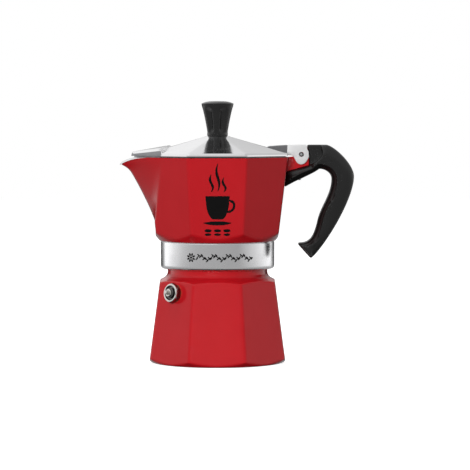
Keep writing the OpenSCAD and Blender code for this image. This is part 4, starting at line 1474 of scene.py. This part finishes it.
@dataclass
class Knob:
    """Fluted knob with its insert and screw."""

    finishes: Finishes
    low: float = field(default_factory=lambda: cad_box("knob")[0].z)
    high: float = field(default_factory=lambda: cad_box("knob")[1].z)
    top: float = field(default_factory=lambda: cad_box("knob")[1].x)
    flutes: int = 6
    flute_depth: float = 1.6
    flute_span: float = 21.0

    def radius(self, z: float) -> float:
        """Radius of the turned knob at a height above its base."""
        knots = ((0.0, 6.35), (0.6, 6.5), (2.2, 6.5), (5.6, 7.1), (9.4, 7.8), (13.2, 8.6), (17, 9.5),
                 (20.4, 10.1))
        return along(knots, z)

    def fluted(self, z: float) -> list[Place]:
        """Ring at a height above the base, with the flutes cut in."""
        first, apart = 234, 360 / self.flutes
        base = self.radius(z)
        depth = self.flute_depth * ease(1.2, 5.2, z) * ease(18.6, 15.0, z)
        points = []
        for x, y in circle(base, 144):
            turn = math.degrees(math.atan2(y, x)) - first
            off = (turn + apart / 2) % apart - apart / 2
            trough = math.cos(math.radians(min(abs(off) / self.flute_span, 1.0) * 180)) / 2 + 0.5
            share = (base - depth * trough) / base
            points.append((x * share, y * share, self.low + z))
        return points

    def build(self) -> None:
        """Makes the knob and dresses its hardware."""
        skin = Skin()
        rings = [[(x, y, self.low + 9.3) for x, y in circle(3.55, 144)],
                 [(x, y, self.low) for x, y in circle(3.55, 144)],
                 [(x, y, self.low) for x, y in circle(6.1, 144)]]
        heights = (0.25, 0.7, 1.3, 1.9, *[2.4 + 0.6 * k for k in range(28)], 19.2, 19.8)
        rings += [self.fluted(z) for z in heights]
        tall = self.high - self.low
        rim = self.top
        for radius, z in ((rim, 20.1), (rim - 0.02, 20.35), (rim - 0.2, 20.55), (rim - 0.55, 20.7),
                          (rim - 1.6, tall - 0.85), (rim - 3, tall - 0.42), (rim - 5, tall - 0.12),
                          (rim - 7.5, tall - 0.02)):
            rings.append([(x, y, self.low + z) for x, y in circle(radius, 144)])
        numbers = skin.stack(rings)
        skin.fan(numbers[0], up=False)
        skin.fan(numbers[-1], up=True)
        piece = skin.build("knob_grip", [self.finishes.plastic], crease=55)
        place_piece(piece, "lid", Slot.PLASTIC, "knob")
        dress("knob_insert", self.finishes.brass)
        dress("knob_screw", self.finishes.zinc)


@dataclass
class Studio:
    """Pale floor, soft lights and the camera."""

    eye: Place = (0.011, -1.604, 0.157)
    dip: float = 2.743
    lens: float = 195.0
    ceiling: Flat = (0.98, 0.62)
    table: float = 0.46
    shade: float = 0.02
    walls: tuple[Flat, ...] = ((-180, 0.12), (-165, 0.05), (-150, 0.05), (-140, 0.35), (-131, 1.55),
                               (-112, 1.25), (-76, 0.68), (-50, 0.5), (0, 0.46), (30, 0.44), (45, 0.42),
                               (70, 0.72), (108, 1.15), (138, 1.4), (148, 0.1), (165, 0.05), (180, 0.12))
    soft_walls: float = 0.13

    def floor(self) -> None:
        """Wide pale floor."""
        mesh = bpy.data.meshes.new("floor")
        reach = 3.0
        mesh.from_pydata([(-reach, -reach, 0), (reach, -reach, 0), (reach, reach, 0), (-reach, reach, 0)],
                         [], [(0, 1, 2, 3)])
        floor = link(bpy.data.objects.new("floor", mesh))
        pale = bpy.data.materials.new("pale floor")
        pale.use_nodes = True
        surface = pale.node_tree.nodes["Principled BSDF"]
        surface.inputs["Base Color"].default_value = (0.93, 0.93, 0.93, 1)
        surface.inputs["Roughness"].default_value = 0.9
        surface.inputs["Specular IOR Level"].default_value = 0.1
        surface.inputs["Emission Color"].default_value = (1, 1, 1, 1)
        surface.inputs["Emission Strength"].default_value = 0.8
        mesh.materials.append(pale)
        floor.visible_glossy = False
        floor.visible_diffuse = False

    def panel(self, name: str, place: Place, size: Flat, power: float) -> None:
        """Soft rectangular light that faces the pot."""
        light = bpy.data.lights.new(name, "AREA")
        light.shape = "RECTANGLE"
        light.size, light.size_y = size
        light.energy = power
        lamp = link(bpy.data.objects.new(name, light))
        lamp.visible_glossy = False
        lamp.location = place
        aim = Vector((0, 0, 0.08)) - Vector(place)
        lamp.rotation_euler = aim.to_track_quat("-Z", "Y").to_euler()

    def world(self) -> None:
        """Studio walls seen in reflections: grey in front, bright sides, a dark flag behind each side."""
        world = bpy.data.worlds.new("studio")
        world.use_nodes = True
        tree = world.node_tree
        nodes, link_up = tree.nodes, tree.links.new
        place = nodes.new("ShaderNodeTexCoord")
        parts = nodes.new("ShaderNodeSeparateXYZ")
        link_up(place.outputs["Generated"], parts.inputs["Vector"])
        x, y, z = (parts.outputs[axis] for axis in "XYZ")
        maths = partial(maths_node, tree)

        def share_of(part: bpy.types.NodeSocket, low: float, high: float) -> bpy.types.NodeSocket:
            """Share from 0 to 1 as a part of the direction goes from low to high."""
            spread = nodes.new("ShaderNodeMapRange")
            spread.inputs["From Min"].default_value = low
            spread.inputs["From Max"].default_value = high
            link_up(part, spread.inputs["Value"])
            return spread.outputs["Result"]

        walls = nodes.new("ShaderNodeValToRGB")
        turn = maths("ARCTAN2", x, maths("MULTIPLY", y, -1.0))
        link_up(share_of(turn, -math.pi, math.pi), walls.inputs["Fac"])
        ramp = walls.color_ramp
        while len(ramp.elements) > 1:
            ramp.elements.remove(ramp.elements[-1])
        for i, (degrees, grey) in enumerate(self.walls):
            position = (degrees + 180) / 360
            stop = ramp.elements[0] if i == 0 else ramp.elements.new(position)
            stop.position = position
            stop.color = (grey, grey, grey, 1)

        def blend(share: bpy.types.NodeSocket, under: object, over: object) -> bpy.types.NodeSocket:
            """Mix of two greys, each a socket or a number."""
            node = nodes.new("ShaderNodeMix")
            node.data_type = "RGBA"
            link_up(share, node.inputs["Factor"])
            for title, value in (("A", under), ("B", over)):
                if isinstance(value, bpy.types.NodeSocket):
                    link_up(value, node.inputs[title])
                else:
                    node.inputs[title].default_value = (value, value, value, 1)
            return node.outputs["Result"]

        raised = maths("MULTIPLY_ADD", maths("MAXIMUM", y, 0.0), 0.15, z)
        sky = blend(share_of(x, -0.11, 0.11), *self.ceiling)
        above = blend(share_of(raised, 0.2, 0.34), walls.outputs["Color"], sky)
        level = blend(share_of(z, -0.08, -0.2), above, self.table)
        around = blend(share_of(z, -0.45, -0.75), level, self.shade)
        seen = nodes.new("ShaderNodeLightPath")
        soft = blend(share_of(z, 0.1, -0.3), self.soft_walls, self.shade)
        lit = blend(seen.outputs["Is Diffuse Ray"], around, soft)
        shown = blend(seen.outputs["Is Camera Ray"], lit, 1.0)
        link_up(shown, nodes["Background"].inputs["Color"])
        bpy.context.scene.world = world

    def build(self) -> None:
        """Sets the stage."""
        self.floor()
        self.world()
        self.panel("top", (0.0, 0.1, 1.6), (1.6, 1.6), 17)
        self.panel("key", (-0.34, -1.65, 0.24), (0.7, 0.7), 25)
        camera = bpy.data.cameras.new("camera")
        camera.lens = self.lens
        camera.sensor_width = 36.0
        camera.clip_end = 100
        eye = link(bpy.data.objects.new("camera", camera))
        eye.location = self.eye
        eye.rotation_euler = (math.radians(90 - self.dip), 0, 0)
        bpy.context.scene.camera = eye
        bpy.context.scene.view_settings.view_transform = "Standard"


def main() -> None:
    """Builds every sub-assembly in turn."""
    logging.basicConfig(level=logging.INFO, format="%(name)s: %(message)s")
    finishes = Finishes()
    tools = NodeTools()
    Boiler(finishes, tools).build()
    Valve(finishes, tools).build()
    Funnel(finishes).build()
    Collector(finishes, tools).build()
    Handle(finishes).build()
    Lid(finishes).build()
    Knob(finishes).build()
    Studio().build()


if __name__ == "__main__":
    main()
